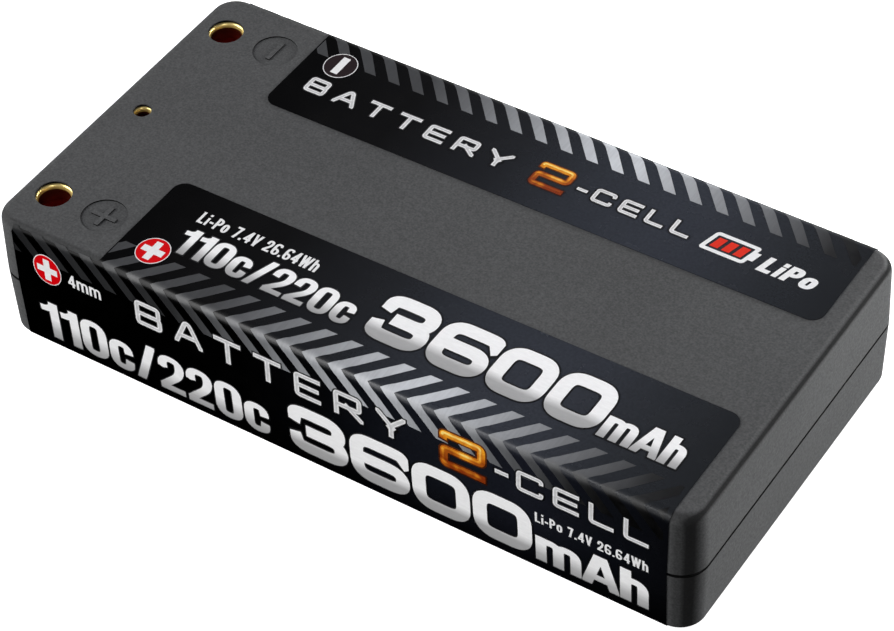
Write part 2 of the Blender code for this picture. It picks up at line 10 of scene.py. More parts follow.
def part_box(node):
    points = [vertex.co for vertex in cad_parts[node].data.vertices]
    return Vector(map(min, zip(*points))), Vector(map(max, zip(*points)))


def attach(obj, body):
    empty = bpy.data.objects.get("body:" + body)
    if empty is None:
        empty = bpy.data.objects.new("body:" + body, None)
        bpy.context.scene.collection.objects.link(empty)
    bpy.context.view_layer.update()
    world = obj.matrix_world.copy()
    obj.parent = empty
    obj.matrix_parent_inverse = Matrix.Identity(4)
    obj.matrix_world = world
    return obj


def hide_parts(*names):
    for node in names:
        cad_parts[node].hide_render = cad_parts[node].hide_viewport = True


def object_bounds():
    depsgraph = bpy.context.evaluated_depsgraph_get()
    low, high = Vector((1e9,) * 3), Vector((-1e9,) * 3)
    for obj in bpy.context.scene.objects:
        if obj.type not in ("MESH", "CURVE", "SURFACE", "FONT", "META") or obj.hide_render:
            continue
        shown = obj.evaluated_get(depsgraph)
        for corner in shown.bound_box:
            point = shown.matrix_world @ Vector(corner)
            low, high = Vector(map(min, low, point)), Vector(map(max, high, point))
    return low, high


# Looks for a low-profile two-cell lithium polymer pack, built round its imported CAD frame.
# The frame is in metres, +Z up, with the origin at the centre of the underside.  X runs
# along the pack with the sockets at the -X end.  Solids here are laid out in millimetres.
# Printed pieces are first laid flat as (x, around, lift): around is the distance from the
# middle of the underside, up the -Y side and on over the top, and lift is the height off
# the case.  fold() then wraps them on to the case and turns them into metres.

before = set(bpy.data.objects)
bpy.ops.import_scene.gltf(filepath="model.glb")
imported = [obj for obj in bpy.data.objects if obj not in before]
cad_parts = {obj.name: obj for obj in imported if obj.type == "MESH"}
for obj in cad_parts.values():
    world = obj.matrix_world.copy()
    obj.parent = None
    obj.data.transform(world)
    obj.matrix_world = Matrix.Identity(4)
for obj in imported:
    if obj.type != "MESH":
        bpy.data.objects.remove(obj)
cad_low, cad_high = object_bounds()

MM = 0.001
LENGTH = (cad_high.x - cad_low.x) / MM
WIDTH = (cad_high.y - cad_low.y) / MM
HEIGHT = (cad_high.z - cad_low.z) / MM
SEAM = HEIGHT / 2

# Moulded case; its surface lies one film thickness inside the CAD box
FILM = 0.08
WALL = 1.5
DRAFT_INSET = 0.2
CORNER_RADIUS = 3.4
TOP_FILLET = 1.2
BOTTOM_FILLET = 0.4
CORNER_STEPS = 14
FILLET_STEPS = 10
TONGUE_THICKNESS = 0.4
TONGUE_HEIGHT = 1.35
CLEARANCE = 0.3
SEAM_GAP = 0.3
SEAM_EDGE = 0.08

# Label
LABEL_STRIP_X = -30.2
LABEL_NEAR_Y = (-7.55, -7.2)
LABEL_FAR_Y = (8.55, 8.95)
LABEL_CORNER = 1.6
LABEL_SHOULDER = 0.9
LABEL_RISE = 0.75
LABEL_GAP = 0.004
INK = 0.008

# Sockets: holes in the case, and each contact's bore, outside, mouth and collar
POWER_HOLE = 4.2
BALANCE_HOLE = 2.1
POWER_CONTACT = (4.0, 5.0, 4.3, 6.0)
BALANCE_CONTACT = (2.0, 2.8, 2.15, 3.8)
COLLAR_THICKNESS = 0.8
LEAD_DEPTH = 0.95

# Polarity marks
MARK_X = -34.2
MARK_RADIUS = 2.7
MARK_DEPTH = 0.16
MARK_ARM = 3.3
MARK_STROKE = 0.6


def centre_of(node):
    low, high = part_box(node)
    return (low + high) / (2 * MM)


SOCKET_X = centre_of("positive_socket").x
SOCKET_SPREAD = centre_of("negative_socket").y
SOCKET_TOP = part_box("positive_socket")[1].z / MM
label_low, label_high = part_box("wrap_label")
LABEL_SIDE_X = label_low.x / MM
LABEL_END_X = label_high.x / MM


# ------------------------------------------------------------------ material tools

class Look:
    """A material being made: its shader, and short ways to add nodes to it."""

    def __init__(self, name, roughness, metallic=0.0, **more):
        self.material = bpy.data.materials.new(name)
        self.material.use_nodes = True
        self.tree = self.material.node_tree
        self.shader = self.tree.nodes["Principled BSDF"]
        self.shader.inputs["Roughness"].default_value = roughness
        self.shader.inputs["Metallic"].default_value = metallic
        for socket, value in more.items():
            self.shader.inputs[socket.replace("_", " ")].default_value = value
        self.place = self.add("TexCoord").outputs["Object"]

    def add(self, kind, **inputs):
        node = self.tree.nodes.new("ShaderNode" + kind)
        for socket, value in inputs.items():
            self.feed(node, socket.replace("_", " "), value)
        return node

    def feed(self, node, socket, value):
        if isinstance(value, bpy.types.NodeSocket):
            self.tree.links.new(value, node.inputs[socket])
        else:
            node.inputs[socket].default_value = value

    def axis(self, name):
        return self.add("SeparateXYZ", Vector=self.place).outputs[name]

    def noise(self, scale, detail=2.0, stretch=(1.0, 1.0, 1.0)):
        mapped = self.add("Mapping", Vector=self.place, Scale=stretch).outputs[0]
        return self.add("TexNoise", Vector=mapped, Scale=scale, Detail=detail).outputs[0]

    def math(self, operation, first, second=0.0):
        node = self.tree.nodes.new("ShaderNodeMath")
        node.operation = operation
        self.feed(node, 0, first)
        self.feed(node, 1, second)
        return node.outputs[0]

    def span(self, value, low, high, to_low=0.0, to_high=1.0):
        node = self.add("MapRange")
        for index, item in enumerate((value, low, high, to_low, to_high)):
            self.feed(node, index, item)
        return node.outputs[0]

    def ramp(self, value, stops):
        """stops are (position, colour); a single number is a grey."""
        node = self.add("ValToRGB", Fac=value)
        ramp = node.color_ramp
        while len(ramp.elements) < len(stops):
            ramp.elements.new(0.5)
        for element, (position, colour) in zip(ramp.elements, stops):
            element.position = position
            if not isinstance(colour, tuple):
                colour = (colour,) * 3
            element.color = (*colour, 1.0)
        return node.outputs[0]

    def mix(self, share, first, second, blend="MIX"):
        node = self.tree.nodes.new("ShaderNodeMix")
        node.data_type = "RGBA"
        node.blend_type = blend
        for index, value in ((0, share), (6, first), (7, second)):
            if isinstance(value, tuple):
                value = (*value, 1.0)
            self.feed(node, index, value)
        return node.outputs[2]

    def colour(self, value):
        self.feed(self.shader, "Base Color", value)

    def rough(self, value, low, high):
        self.feed(self.shader, "Roughness", self.ramp(value, [(0.3, low), (0.7, high)]))

    def bump(self, height, depth, strength=1.0):
        node = self.add("Bump", Height=height, Distance=depth * MM, Strength=strength)
        self.tree.links.new(node.outputs[0], self.shader.inputs["Normal"])

    def facing(self):
        """The X, Y and Z of the surface's normal."""
        normal = self.add("NewGeometry").outputs["Normal"]
        return self.add("SeparateXYZ", Vector=normal).outputs

    def edges(self):
        """0 on the flats and 1 on rounded edges, from how far the normal is off an axis."""
        sizes = [self.math("ABSOLUTE", part) for part in self.facing()]
        most = self.math("MAXIMUM", self.math("MAXIMUM", sizes[0], sizes[1]), sizes[2])
        return self.span(most, 0.995, 0.8)


# ------------------------------------------------------------------ mesh tools

SHARP_ANGLE = 35.0


def linked(name, data):
    made = bpy.data.objects.new(name, data)
    bpy.context.scene.collection.objects.link(made)
    return made


def meshed(name, bm):
    """An object in the scene, made from a bmesh that is then freed."""
    mesh = bpy.data.meshes.new(name)
    bm.to_mesh(mesh)
    bm.free()
    return linked(name, mesh)


def add_piece(name, bm, look, replaced=(), sharp=SHARP_ANGLE):
    """A closed mesh in metres becomes a piece that rides on the pack."""
    bmesh.ops.recalc_face_normals(bm, faces=bm.faces)
    if bm.calc_volume(signed=True) < 0:
        bmesh.ops.reverse_faces(bm, faces=bm.faces)
    piece = meshed(name, bm)
    piece.data.shade_smooth()
    piece.data.set_sharp_from_angle(angle=math.radians(sharp))
    piece.data.materials.append(look.material)
    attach(piece, "root")
    if replaced:
        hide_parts(*replaced)
    return piece


def raised_points(bm):
    """Merges flat faces, extrudes them in place, and gives the new points."""
    bmesh.ops.dissolve_limit(bm, angle_limit=0.001, verts=bm.verts, edges=bm.edges)
    grown = bmesh.ops.extrude_face_region(bm, geom=bm.faces[:])["geom"]
    return [item for item in grown if isinstance(item, bmesh.types.BMVert)]


def even_shading(piece):
    """Keeps the flats flat next to smooth fillets."""
    modifier = piece.modifiers.new("even_shading", "WEIGHTED_NORMAL")
    modifier.keep_sharp = True
    modifier.weight = 100


def quarter_turn(steps):
    """Angles from 0 to 90 degrees, in radians."""
    return [math.radians(90 * step / steps) for step in range(steps + 1)]


def rounded_loop(x0, x1, y0, y1, radius, z, steps=CORNER_STEPS):
    """Points of a rounded rectangle at height z, anticlockwise from above."""
    corners = [(x1, y0, -90), (x1, y1, 0), (x0, y1, 90), (x0, y0, 180)]
    points = []
    for corner_x, corner_y, start in corners:
        centre_x = corner_x - math.copysign(radius, corner_x - (x0 + x1) / 2)
        centre_y = corner_y - math.copysign(radius, corner_y - (y0 + y1) / 2)
        for step in range(steps + 1):
            angle = math.radians(start + 90 * step / steps)
            points.append((centre_x + radius * math.cos(angle),
                           centre_y + radius * math.sin(angle), z))
    return points


def round_loop(x, y, radius, z, steps=96):
    angles = [2 * math.pi * step / steps for step in range(steps)]
    return [(x + radius * math.cos(a), y + radius * math.sin(a), z) for a in angles]


def stacked(loops):
    """Joins loops of equal length one to the next, and caps the two ends."""
    bm = bmesh.new()
    rings = [[bm.verts.new(Vector(point) * MM) for point in loop] for loop in loops]
    bm.faces.new(rings[0])
    bm.faces.new(rings[-1])
    for lower, upper in zip(rings, rings[1:]):
        for index in range(len(lower)):
            after = (index + 1) % len(lower)
            bm.faces.new((lower[index], lower[after], upper[after], upper[index]))
    return bm


def cut(piece, cutters):
    """Takes closed meshes out of a piece, and leaves plain geometry."""
    tools = []
    for index, bm in enumerate(cutters):
        bmesh.ops.recalc_face_normals(bm, faces=bm.faces)
        tool = meshed(f"cutter_{index}", bm)
        modifier = piece.modifiers.new(tool.name, "BOOLEAN")
        modifier.solver = "EXACT"
        modifier.object = tool
        tools.append(tool)
    graph = bpy.context.evaluated_depsgraph_get()
    result = bpy.data.meshes.new_from_object(piece.evaluated_get(graph))
    piece.modifiers.clear()
    old = piece.data
    piece.data = result
    bpy.data.meshes.remove(old)
    for tool in tools:
        bpy.data.meshes.remove(tool.data)
    result.shade_smooth()
    result.set_sharp_from_angle(angle=math.radians(SHARP_ANGLE))


# ------------------------------------------------------------------ folding round the case

def girth_stations():
    """Distance, (y, z) and outward normal at each fold line, once round the case."""
    half = WIDTH / 2 - DRAFT_INSET - FILM
    bottom = FILM
    top = HEIGHT - FILM
    near = [(0.0, bottom)]
    for angle in quarter_turn(FILLET_STEPS):
        near.append((-half + BOTTOM_FILLET - BOTTOM_FILLET * math.sin(angle),
                     bottom + BOTTOM_FILLET - BOTTOM_FILLET * math.cos(angle)))
    near.append((-WIDTH / 2 + FILM, SEAM))
    for angle in quarter_turn(FILLET_STEPS):
        near.append((-half + TOP_FILLET - TOP_FILLET * math.cos(angle),
                     top - TOP_FILLET + TOP_FILLET * math.sin(angle)))
    near.append((0.0, top))
    path = [Vector(p) for p in near] + [Vector((-y, z)) for y, z in reversed(near[:-1])]
    lengths = [0.0]
    for before, after in zip(path, path[1:]):
        lengths.append(lengths[-1] + (after - before).length)
    stations = []
    for index, (length, place) in enumerate(zip(lengths, path)):
        before = path[index - 1] if index else path[-2]
        after = path[index + 1] if index + 1 < len(path) else path[1]
        along = (place - before).normalized() + (after - place).normalized()
        stations.append((length, place, Vector((along.y * -1.0, along.x)).normalized()))
    return stations


STATIONS = girth_stations()
GIRTH = STATIONS[-1][0]
FOLDS = [station[0] for station in STATIONS]
NEAR_SIDE = [s for s in STATIONS[:len(STATIONS) // 2] if abs(s[1].x) > WIDTH / 2 - 0.6]


def on_top(y):
    """Distance round the case of a line at y on the top face."""
    return GIRTH / 2 + y


def on_near(z):
    """Distance round the case of a line at height z on the -Y side."""
    for (start, low, _), (end, high, _) in zip(NEAR_SIDE, NEAR_SIDE[1:]):
        if z <= high.y:
            return start + (end - start) * (z - low.y) / (high.y - low.y)
    return NEAR_SIDE[-1][0]


def folded_place(x, around, lift):
    turns = math.floor(around / GIRTH)
    around -= turns * GIRTH
    index = min(bisect.bisect_right(FOLDS, around) - 1, len(STATIONS) - 2)
    start, start_place, start_normal = STATIONS[index]
    end, end_place, end_normal = STATIONS[index + 1]
    inner = start_place + start_normal * lift
    outer = end_place + end_normal * lift
    place = inner.lerp(outer, (around - start) / (end - start))
    return Vector((x, place.x, place.y)) * MM


def fold(bm):
    low = min(vert.co.y for vert in bm.verts)
    high = max(vert.co.y for vert in bm.verts)
    for turn in (-1, 0, 1):
        for distance in FOLDS[:-1]:
            level = distance + turn * GIRTH
            if low + 1e-4 < level < high - 1e-4:
                geometry = bm.verts[:] + bm.edges[:] + bm.faces[:]
                bmesh.ops.bisect_plane(bm, geom=geometry, plane_co=(0.0, level, 0.0),
                                       plane_no=(0.0, 1.0, 0.0), dist=1e-4)
    for vert in bm.verts:
        vert.co = folded_place(*vert.co)


# ------------------------------------------------------------------ flat art

def union(solids, holes=()):
    """Triangles of the polygons' union, less the holes."""
    points, faces = [], []
    for polygon in [*solids, *holes]:
        faces.append(list(range(len(points), len(points) + len(polygon))))
        points += [Vector(point) for point in polygon]
    made = delaunay_2d_cdt(points, [], faces, 1, 1e-5)
    kept = []
    for face, sources in zip(made[2], made[5]):
        if sources and max(sources) < len(solids):
            kept.append(face)
    return made[0], kept


def ink(name, flat, lift, look, thickness=INK, replaced=()):
    """Flat art, given as points and faces, becomes a thin solid folded on to the case."""
    bm = bmesh.new()
    verts = [bm.verts.new((x, around, lift)) for x, around in flat[0]]
    used = {index for face in flat[1] for index in face}
    faces = [bm.faces.new([verts[index] for index in face]) for face in flat[1]]
    for index, vert in enumerate(verts):
        if index not in used:
            bm.verts.remove(vert)
    for vert in raised_points(bm):
        vert.co.z += thickness
    bmesh.ops.triangulate(bm, faces=bm.faces)
    fold(bm)
    return add_piece(name, bm, look, replaced)


def rounded_box(x0, x1, a0, a1, radius, steps=8):
    return [(x, a) for x, a, _ in rounded_loop(x0, x1, a0, a1, radius, 0.0, steps)]


def plain_box(x, around, wide, tall):
    return [(x + side * wide / 2, around + level * tall / 2)
            for side, level in ((-1, -1), (1, -1), (1, 1), (-1, 1))]


def oval(x, around, radius_x, radius_a, steps=64):
    angles = [2 * math.pi * step / steps for step in range(steps)]
    return [(x + radius_x * math.cos(a), around + radius_a * math.sin(a)) for a in angles]


def clipped(polygon, low, high, axis=0):
    """The part of a convex polygon between two limits on one axis."""
    for limit, side in ((low, 1), (high, -1)):
        kept = []
        for before, after in zip([*polygon[-1:], *polygon], polygon):
            if (before[axis] - limit) * (after[axis] - limit) < 0:
                share = (limit - before[axis]) / (after[axis] - before[axis])
                kept.append(tuple(b + (a - b) * share for b, a in zip(before, after)))
            if (after[axis] - limit) * side >= 0:
                kept.append(after)
        polygon = [point for index, point in enumerate(kept)
                   if math.dist(point, kept[index - 1]) > 1e-3]
    return polygon if len(polygon) > 2 else []


def curved(points, radius, steps=6):
    """A line with its inner corners rounded off."""
    points = [Vector(point) for point in points]
    made = [points[0]]
    for index in range(1, len(points) - 1):
        before, corner, after = points[index - 1:index + 2]
        first = (before - corner) * (1.0 if index == 1 else 0.5)
        last = (after - corner) * (1.0 if index == len(points) - 2 else 0.5)
        start = corner + first.normalized() * min(radius, first.length)
        end = corner + last.normalized() * min(radius, last.length)
        for step in range(steps + 1):
            t = step / steps
            made.append(start * (1 - t) ** 2 + corner * 2 * t * (1 - t) + end * t * t)
    return [*made, points[-1]]


def ribbon(points, width, run_on, slim):
    """A stroke as overlapping polygons; its open ends run on, and its level parts are slim."""
    points = [point for index, point in enumerate(points)
              if index == 0 or (point - points[index - 1]).length > 1e-3]
    closed = (points[0] - points[-1]).length < 1e-3
    if not closed:
        ends = []
        for end, inner in ((points[0], points[1]), (points[-1], points[-2])):
            out = (end - inner).normalized()
            ends.append(end + out * (run_on + width * abs(out.x * out.y)))
        points = [ends[0], *points[1:-1], ends[1]]
    shapes = []
    for index, (start, end) in enumerate(zip(points, points[1:])):
        along = (end - start).normalized()
        half = width / 2 * (1.0 - slim * abs(along.x))
        side = Vector((-along.y, along.x)) * half
        shapes.append([tuple(p) for p in (start - side, end - side, end + side, start + side)])
        if index or closed:
            shapes.append(oval(start.x, start.y, half, half, 20))
    return shapes


# Characters as strokes in a unit box, after their width and height as shares of a capital's
# height.  The first set is a wide technical alphabet and the second a bold condensed one.
WIDE = {
    "A": (1.15, 1.0, [[(0, 0), (0.42, 1), (0.58, 1), (1, 0)], [(0.22, 0.32), (0.78, 0.32)]]),
    "B": (1.1, 1.0, [[(0, 0.5), (0, 1), (0.97, 1), (0.97, 0.5), (0, 0.5)],
                     [(0, 0.5), (1, 0.5), (1, 0), (0, 0), (0, 0.5)]]),
    "C": (1.1, 1.0, [[(1, 0.9), (1, 1), (0, 1), (0, 0), (1, 0), (1, 0.1)]]),
    "E": (1.05, 1.0, [[(1, 1), (0, 1), (0, 0), (1, 0)], [(0, 0.5), (0.92, 0.5)]]),
    "L": (1.0, 1.0, [[(0, 1), (0, 0), (1, 0)]]),
    "R": (1.15, 1.0, [[(0, 0), (0, 1), (0.95, 1), (0.95, 0.42), (0, 0.42)],
                      [(0.5, 0.42), (1, 0)]]),
    "T": (1.1, 1.0, [[(0, 1), (1, 1)], [(0.5, 1), (0.5, 0)]]),
    "Y": (1.15, 1.0, [[(0, 1), (0.5, 0.48)], [(1, 1), (0.5, 0.48)], [(0.5, 0.48), (0.5, 0)]]),
    "-": (0.5, 1.0, [[(0, 0.5), (1, 0.5)]]),
    "2": (1.1, 1.0, [[(0, 0.95), (0, 1), (1, 1), (1, 0.5), (0, 0.5), (0, 0), (1, 0)]]),
}
HEAVY = {
    " ": (0.28, 1.0, []),
    "-": (0.36, 1.0, [[(0, 0.36), (1, 0.36)]]),
    ".": (0.2, 1.0, [[(0.5, 0), (0.5, 0.02)]]),
    "/": (0.5, 1.04, [[(0, -0.06), (1, 1)]]),
    "0": (0.6, 1.0, [[(0.5, 0), (1, 0), (1, 1), (0, 1), (0, 0), (0.5, 0)]]),
    "1": (0.42, 1.0, [[(1, 0), (1, 1)], [(0, 0.84), (0.5, 0.84), (1, 1)]]),
    "2": (0.59, 1.0, [[(0, 0.76), (0, 1), (1, 1), (1, 0.56), (0, 0.08)], [(0, 0), (1, 0)]]),
    "3": (0.625, 1.0, [[(0, 0.87), (0, 1), (0.97, 1), (0.97, 0.5), (0.38, 0.5)],
                       [(0.38, 0.5), (1, 0.5), (1, 0), (0, 0), (0, 0.13)]]),
    "4": (0.62, 1.0, [[(0.8, 0), (0.8, 1)], [(0, 0.24), (1, 0.24)], [(0.75, 1), (0.1, 0.36)]]),
    "6": (0.625, 1.0, [[(1, 0.96), (1, 1), (0, 1), (0, 0), (1, 0), (1, 0.5), (0, 0.5)]]),
    "7": (0.56, 1.0, [[(0, 1), (1, 1)], [(1, 1), (0.35, 0)]]),
    "A": (0.76, 1.0, [[(0, 0), (0.4, 1)], [(0.4, 1), (0.6, 1)], [(0.6, 1), (1, 0)],
                      [(0.2, 0.22), (0.8, 0.22)]]),
    "L": (0.52, 1.0, [[(0, 1), (0, 0)], [(0, 0), (1, 0)]]),
    "P": (0.58, 1.0, [[(0, 0), (0, 1)], [(0, 1), (1, 1), (1, 0.45), (0, 0.45)]]),
    "V": (0.64, 1.0, [[(0, 1), (0.5, 0)], [(1, 1), (0.5, 0)]]),
    "W": (0.94, 1.0, [[(0, 1), (0.25, 0)], [(0.5, 1), (0.25, 0)], [(0.5, 1), (0.75, 0)],
                      [(1, 1), (0.75, 0)]]),
    "c": (0.55, 0.8, [[(1, 0.8), (1, 1), (0, 1), (0, 0), (1, 0), (1, 0.2)]]),
    "h": (0.58, 1.0, [[(0, 0), (0, 1)], [(0, 0.4), (0, 0.73), (1, 0.73), (1, 0)]]),
    "i": (0.2, 1.0, [[(0.5, 0), (0.5, 0.62)], [(0.5, 0.98), (0.5, 1)]]),
    "m": (0.95, 0.77, [[(0, 0), (0, 1)], [(0, 0.4), (0, 1), (0.5, 1), (0.5, 0)],
                       [(0.5, 0.4), (0.5, 1), (1, 1), (1, 0)]]),
    "o": (0.56, 0.76, [[(0.5, 0), (1, 0), (1, 1), (0, 1), (0, 0), (0.5, 0)]]),
}


# How far a stroke may pass its letter's box
SPARE = 0.003


def strokes(alphabet, text, x0, x1, a0, cap, weight, bend, gap, slim=0.0, grow=0.0):
    """A word drawn with strokes from x0 to x1, its capitals cap high above a0."""
    unit = (x1 - x0 - gap * (len(text) - 1)) / sum(alphabet[letter][0] for letter in text)
    bar = weight * (1.0 - slim)
    shapes = []
    left = x0 + weight / 2
    for letter in text:
        width, height, lines = alphabet[letter]
        wide = width * unit - weight
        tall = height * cap - bar
        reach = weight / 2 + grow
        spare = grow + SPARE
        for line in lines:
            points = [(left + u * wide, a0 + bar / 2 + v * tall) for u, v in line]
            for shape in ribbon(curved(points, bend), 2 * reach, bar / 2 + grow, slim):
                shape = clipped(shape, left - reach - SPARE, left + wide + reach + SPARE)
                shape = clipped(shape, a0 - spare, a0 + height * cap + spare, 1)
                if shape:
                    shapes.append(shape)
        left += width * unit + gap
    return union(shapes)


# ------------------------------------------------------------------ materials

def charcoal_plastic():
    """Speckled plastic with painted shade: its rounded edges at the +X end, the near top fillet and
    the near-right corner are painted darker, and the walls near the top and the seam gap near-black.
    """
    look = Look("charcoal_plastic", 0.6, Specular_IOR_Level=0.13)
    fine = look.noise(4200.0, 3.0)
    speckle = look.ramp(fine, [(0.3, 0.064), (0.5, 0.083), (0.72, 0.107)])
    cloud = look.ramp(look.noise(55.0, 3.0), [(0.3, 0.94), (0.7, 1.05)])
    base = look.mix(1.0, speckle, cloud, "MULTIPLY")
    tint = look.mix(1.0, base, (0.95, 0.965, 0.975), "MULTIPLY")
    facing = look.facing()
    # Painted shade: the rounded edges at the +X end, the upper near top fillet and the near-right
    # corner are painted darker and lose their specular.
    ends = look.math("MULTIPLY", look.edges(), look.span(facing["X"], 0.1, 0.5))
    shoulder = look.math("MULTIPLY", look.span(facing["Y"], -0.1, -0.4, 0.0, 0.6),
                         look.span(facing["Z"], 0.1, 0.6))
    corner = look.math("MULTIPLY", look.span(facing["X"], 0.0, 0.3, 0.0, 0.5),
                       look.span(facing["Y"], -0.3, -0.6))
    painted_edge_shade = look.math("MAXIMUM", look.math("MAXIMUM", ends, shoulder), corner)
    look.feed(look.shader, "Specular IOR Level", look.span(painted_edge_shade, 0.0, 1.0, 0.13, 0.0))
    base_with_painted_edge_shade = look.mix(look.math("MULTIPLY", painted_edge_shade, 0.85), tint, (0.014, 0.014, 0.014))
    # Painted shade: the walls of the socket holes and sunken marks near the top, and the case edges
    # and tongue in the seam gap, are painted near-black.
    deep = look.span(look.axis("Z"), (HEIGHT - 0.6) * MM, (HEIGHT - 0.55) * MM)
    painted_recess_wall_shade = look.math("MULTIPLY", deep, look.span(facing["Z"], 0.4, 0.25))
    joint = look.math("ABSOLUTE", look.math("SUBTRACT", look.axis("Z"), SEAM * MM))
    painted_wall_and_seam_shade = look.math("MAXIMUM", painted_recess_wall_shade, look.span(joint, 0.24 * MM, 0.2 * MM))
    look.colour(look.mix(painted_wall_and_seam_shade, base_with_painted_edge_shade, (0.002, 0.002, 0.002)))
    look.rough(look.noise(2400.0), 0.54, 0.7)
    look.bump(fine, 0.02, 0.5)
    return look


def label_film():
    """Black gloss film whose printed tone and shine change along X, darker towards its foot, with a
    painted sheen added on its upward faces.
    """
    look = Look("label_film", 0.24, Specular_IOR_Level=0.45)
    along = look.span(look.axis("X"), -46.0 * MM, 46.0 * MM)
    side = look.ramp(along, [(0.38, 0.0), (0.5, (0.0013, 0.0014, 0.002)),
                             (0.62, (0.006, 0.007, 0.0105)), (0.78, (0.0085, 0.0095, 0.0145)),
                             (0.88, (0.004, 0.0047, 0.007)), (1.0, (0.0015, 0.0016, 0.0022))])
    # Painted sheen: a lighter tone added on the upward faces, standing for the reflection on the top
    # film.
    painted_sheen = look.ramp(along, [(0.34, (0.0005, 0.0005, 0.0005)), (0.5, (0.0085, 0.0095, 0.0115)),
                              (0.62, (0.017, 0.0195, 0.024)), (0.72, (0.0205, 0.0235, 0.029)),
                              (0.84, (0.0145, 0.0165, 0.019)), (1.0, (0.005, 0.006, 0.0065))])
    facing = look.facing()
    upward = look.span(facing["Z"], 0.2, 1.0)
    foot = look.span(look.axis("Z"), 1.0 * MM, 8.0 * MM, 0.15, 1.0)
    side = look.mix(1.0, side, foot, "MULTIPLY")
    print_tone_and_painted_sheen = look.mix(1.0, side, look.mix(1.0, painted_sheen, upward, "MULTIPLY"), "ADD")
    dust = look.ramp(look.noise(3000.0, 3.0), [(0.35, 0.88), (0.65, 1.12)])
    look.colour(look.mix(1.0, print_tone_and_painted_sheen, dust, "MULTIPLY"))
    look.feed(look.shader, "Specular IOR Level",
              look.ramp(along, [(0.05, 0.06), (0.2, 0.12), (0.3, 0.25), (0.6, 0.45)]))
    look.rough(look.noise(260.0, 4.0), 0.2, 0.3)
    look.bump(look.noise(420.0, 2.0), 0.01, 0.15)
    return look


def stripe_ink():
    """Silver print that fades along X, with painted light and shade: the tops and the sides take
    separate brightness ramps, standing for how light falls on each.
    """
    look = Look("stripe_ink", 0.35)
    along = look.span(look.axis("X"), -46.0 * MM, 46.0 * MM)
    top = look.ramp(along, [(0.25, 0.052), (0.33, 0.05), (0.36, 0.075), (0.43, 0.169), (0.505, 0.325),
                            (0.616, 0.61), (0.653, 0.567), (0.69, 0.44), (0.764, 0.256),
                            (0.837, 0.127), (0.92, 0.015), (0.96, 0.0)])
    side = look.ramp(along, [(0.06, 0.013), (0.1, 0.02), (0.285, 0.02), (0.32, 0.044), (0.395, 0.121),
                             (0.47, 0.26), (0.54, 0.406), (0.578, 0.459), (0.615, 0.373),
                             (0.65, 0.31), (0.726, 0.147), (0.765, 0.083), (0.836, 0.015),
                             (0.89, 0.0003)])
    facing = look.facing()
    # Painted light and shade: the tops take the lighter ramp and the sides the darker one, chosen by
    # the surface's facing.
    silver = look.mix(look.span(facing["Z"], 0.7, 0.98), side, top)
    grain = look.ramp(look.noise(900.0, 3.0, (4.0, 0.4, 0.4)), [(0.3, 0.92), (0.7, 1.08)])
    tint = look.mix(1.0, grain, (0.97, 1.0, 1.05), "MULTIPLY")
    look.colour(look.mix(1.0, silver, tint, "MULTIPLY"))
    look.feed(look.shader, "Specular IOR Level",
              look.ramp(along, [(0.05, 0.08), (0.14, 0.14), (0.24, 0.5)]))
    look.rough(look.noise(800.0), 0.3, 0.42)
    look.bump(look.noise(2600.0), 0.004, 0.3)
    return look


def silver_ink(name, axis, low, high, fall):
    """White at the top of the lettering, falling to brushed grey at its foot."""
    look = Look(name, 0.36)
    up = look.span(look.axis(axis), low * MM, high * MM)
    wave = look.math("ADD", up, look.span(look.noise(160.0), 0.3, 0.7, -0.015, 0.015))
    silver = look.ramp(wave, fall)
    brushed = look.ramp(look.noise(2600.0, 3.0, (0.5, 1.5, 1.5)), [(0.3, 0.95), (0.7, 1.02)])
    look.colour(look.mix(1.0, silver, brushed, "MULTIPLY"))
    look.rough(look.noise(1100.0, 3.0, (0.3, 3.0, 3.0)), 0.34, 0.42)
    look.bump(look.noise(2600.0, 3.0), 0.003, 0.2)
    return look


def plain_ink(name, colour, grain=0.1, roughness=0.32, gloss=0.5):
    look = Look(name, roughness, Specular_IOR_Level=gloss)
    spots = look.ramp(look.noise(2200.0, 3.0), [(0.3, 1.0 - grain), (0.7, 1.0)])
    look.colour(look.mix(1.0, colour, spots, "MULTIPLY"))
    look.rough(look.noise(900.0), roughness - 0.05, roughness + 0.05)
    look.bump(look.noise(2600.0), 0.003, 0.3)
    return look


def ember_inks(place, axis, low, high):
    """The three layers of the burnt orange figure: rim, body and glint."""
    made = []
    for layer, dark, middle, bright in (
            ("rim", (0.03, 0.006, 0.002), (0.08, 0.016, 0.003), (0.12, 0.03, 0.005)),
            ("body", (0.22, 0.03, 0.003), (0.52, 0.13, 0.008), (0.85, 0.34, 0.02)),
            ("glint", (0.3, 0.05, 0.004), (0.8, 0.3, 0.02), (1.0, 0.75, 0.2))):
        look = Look(f"ember_ink_{place}_{layer}", 0.28)
        up = look.span(look.axis(axis), low * MM, high * MM)
        level = look.math("ADD", up, look.span(look.noise(420.0, 2.0), 0.35, 0.65, -0.45, 0.4))
        look.colour(look.ramp(level, [(0.05, dark), (0.5, middle), (0.95, bright)]))
        look.rough(look.noise(700.0), 0.22, 0.36)
        look.bump(look.noise(900.0), 0.01, 0.4)
        made.append(look)
    return made


def metal(name, colour, roughness, streak=(1.0, 1.0, 1.0), scale=900.0, tarnish=0.75):
    look = Look(name, roughness, 1.0)
    stain = look.ramp(look.noise(220.0, 4.0), [(0.3, tarnish), (0.65, 1.0)])
    look.colour(look.mix(1.0, colour, stain, "MULTIPLY"))
    grain = look.noise(scale, 3.0, streak)
    look.rough(grain, roughness - 0.07, roughness + 0.1)
    look.bump(grain, 0.004, 0.4)
    return look


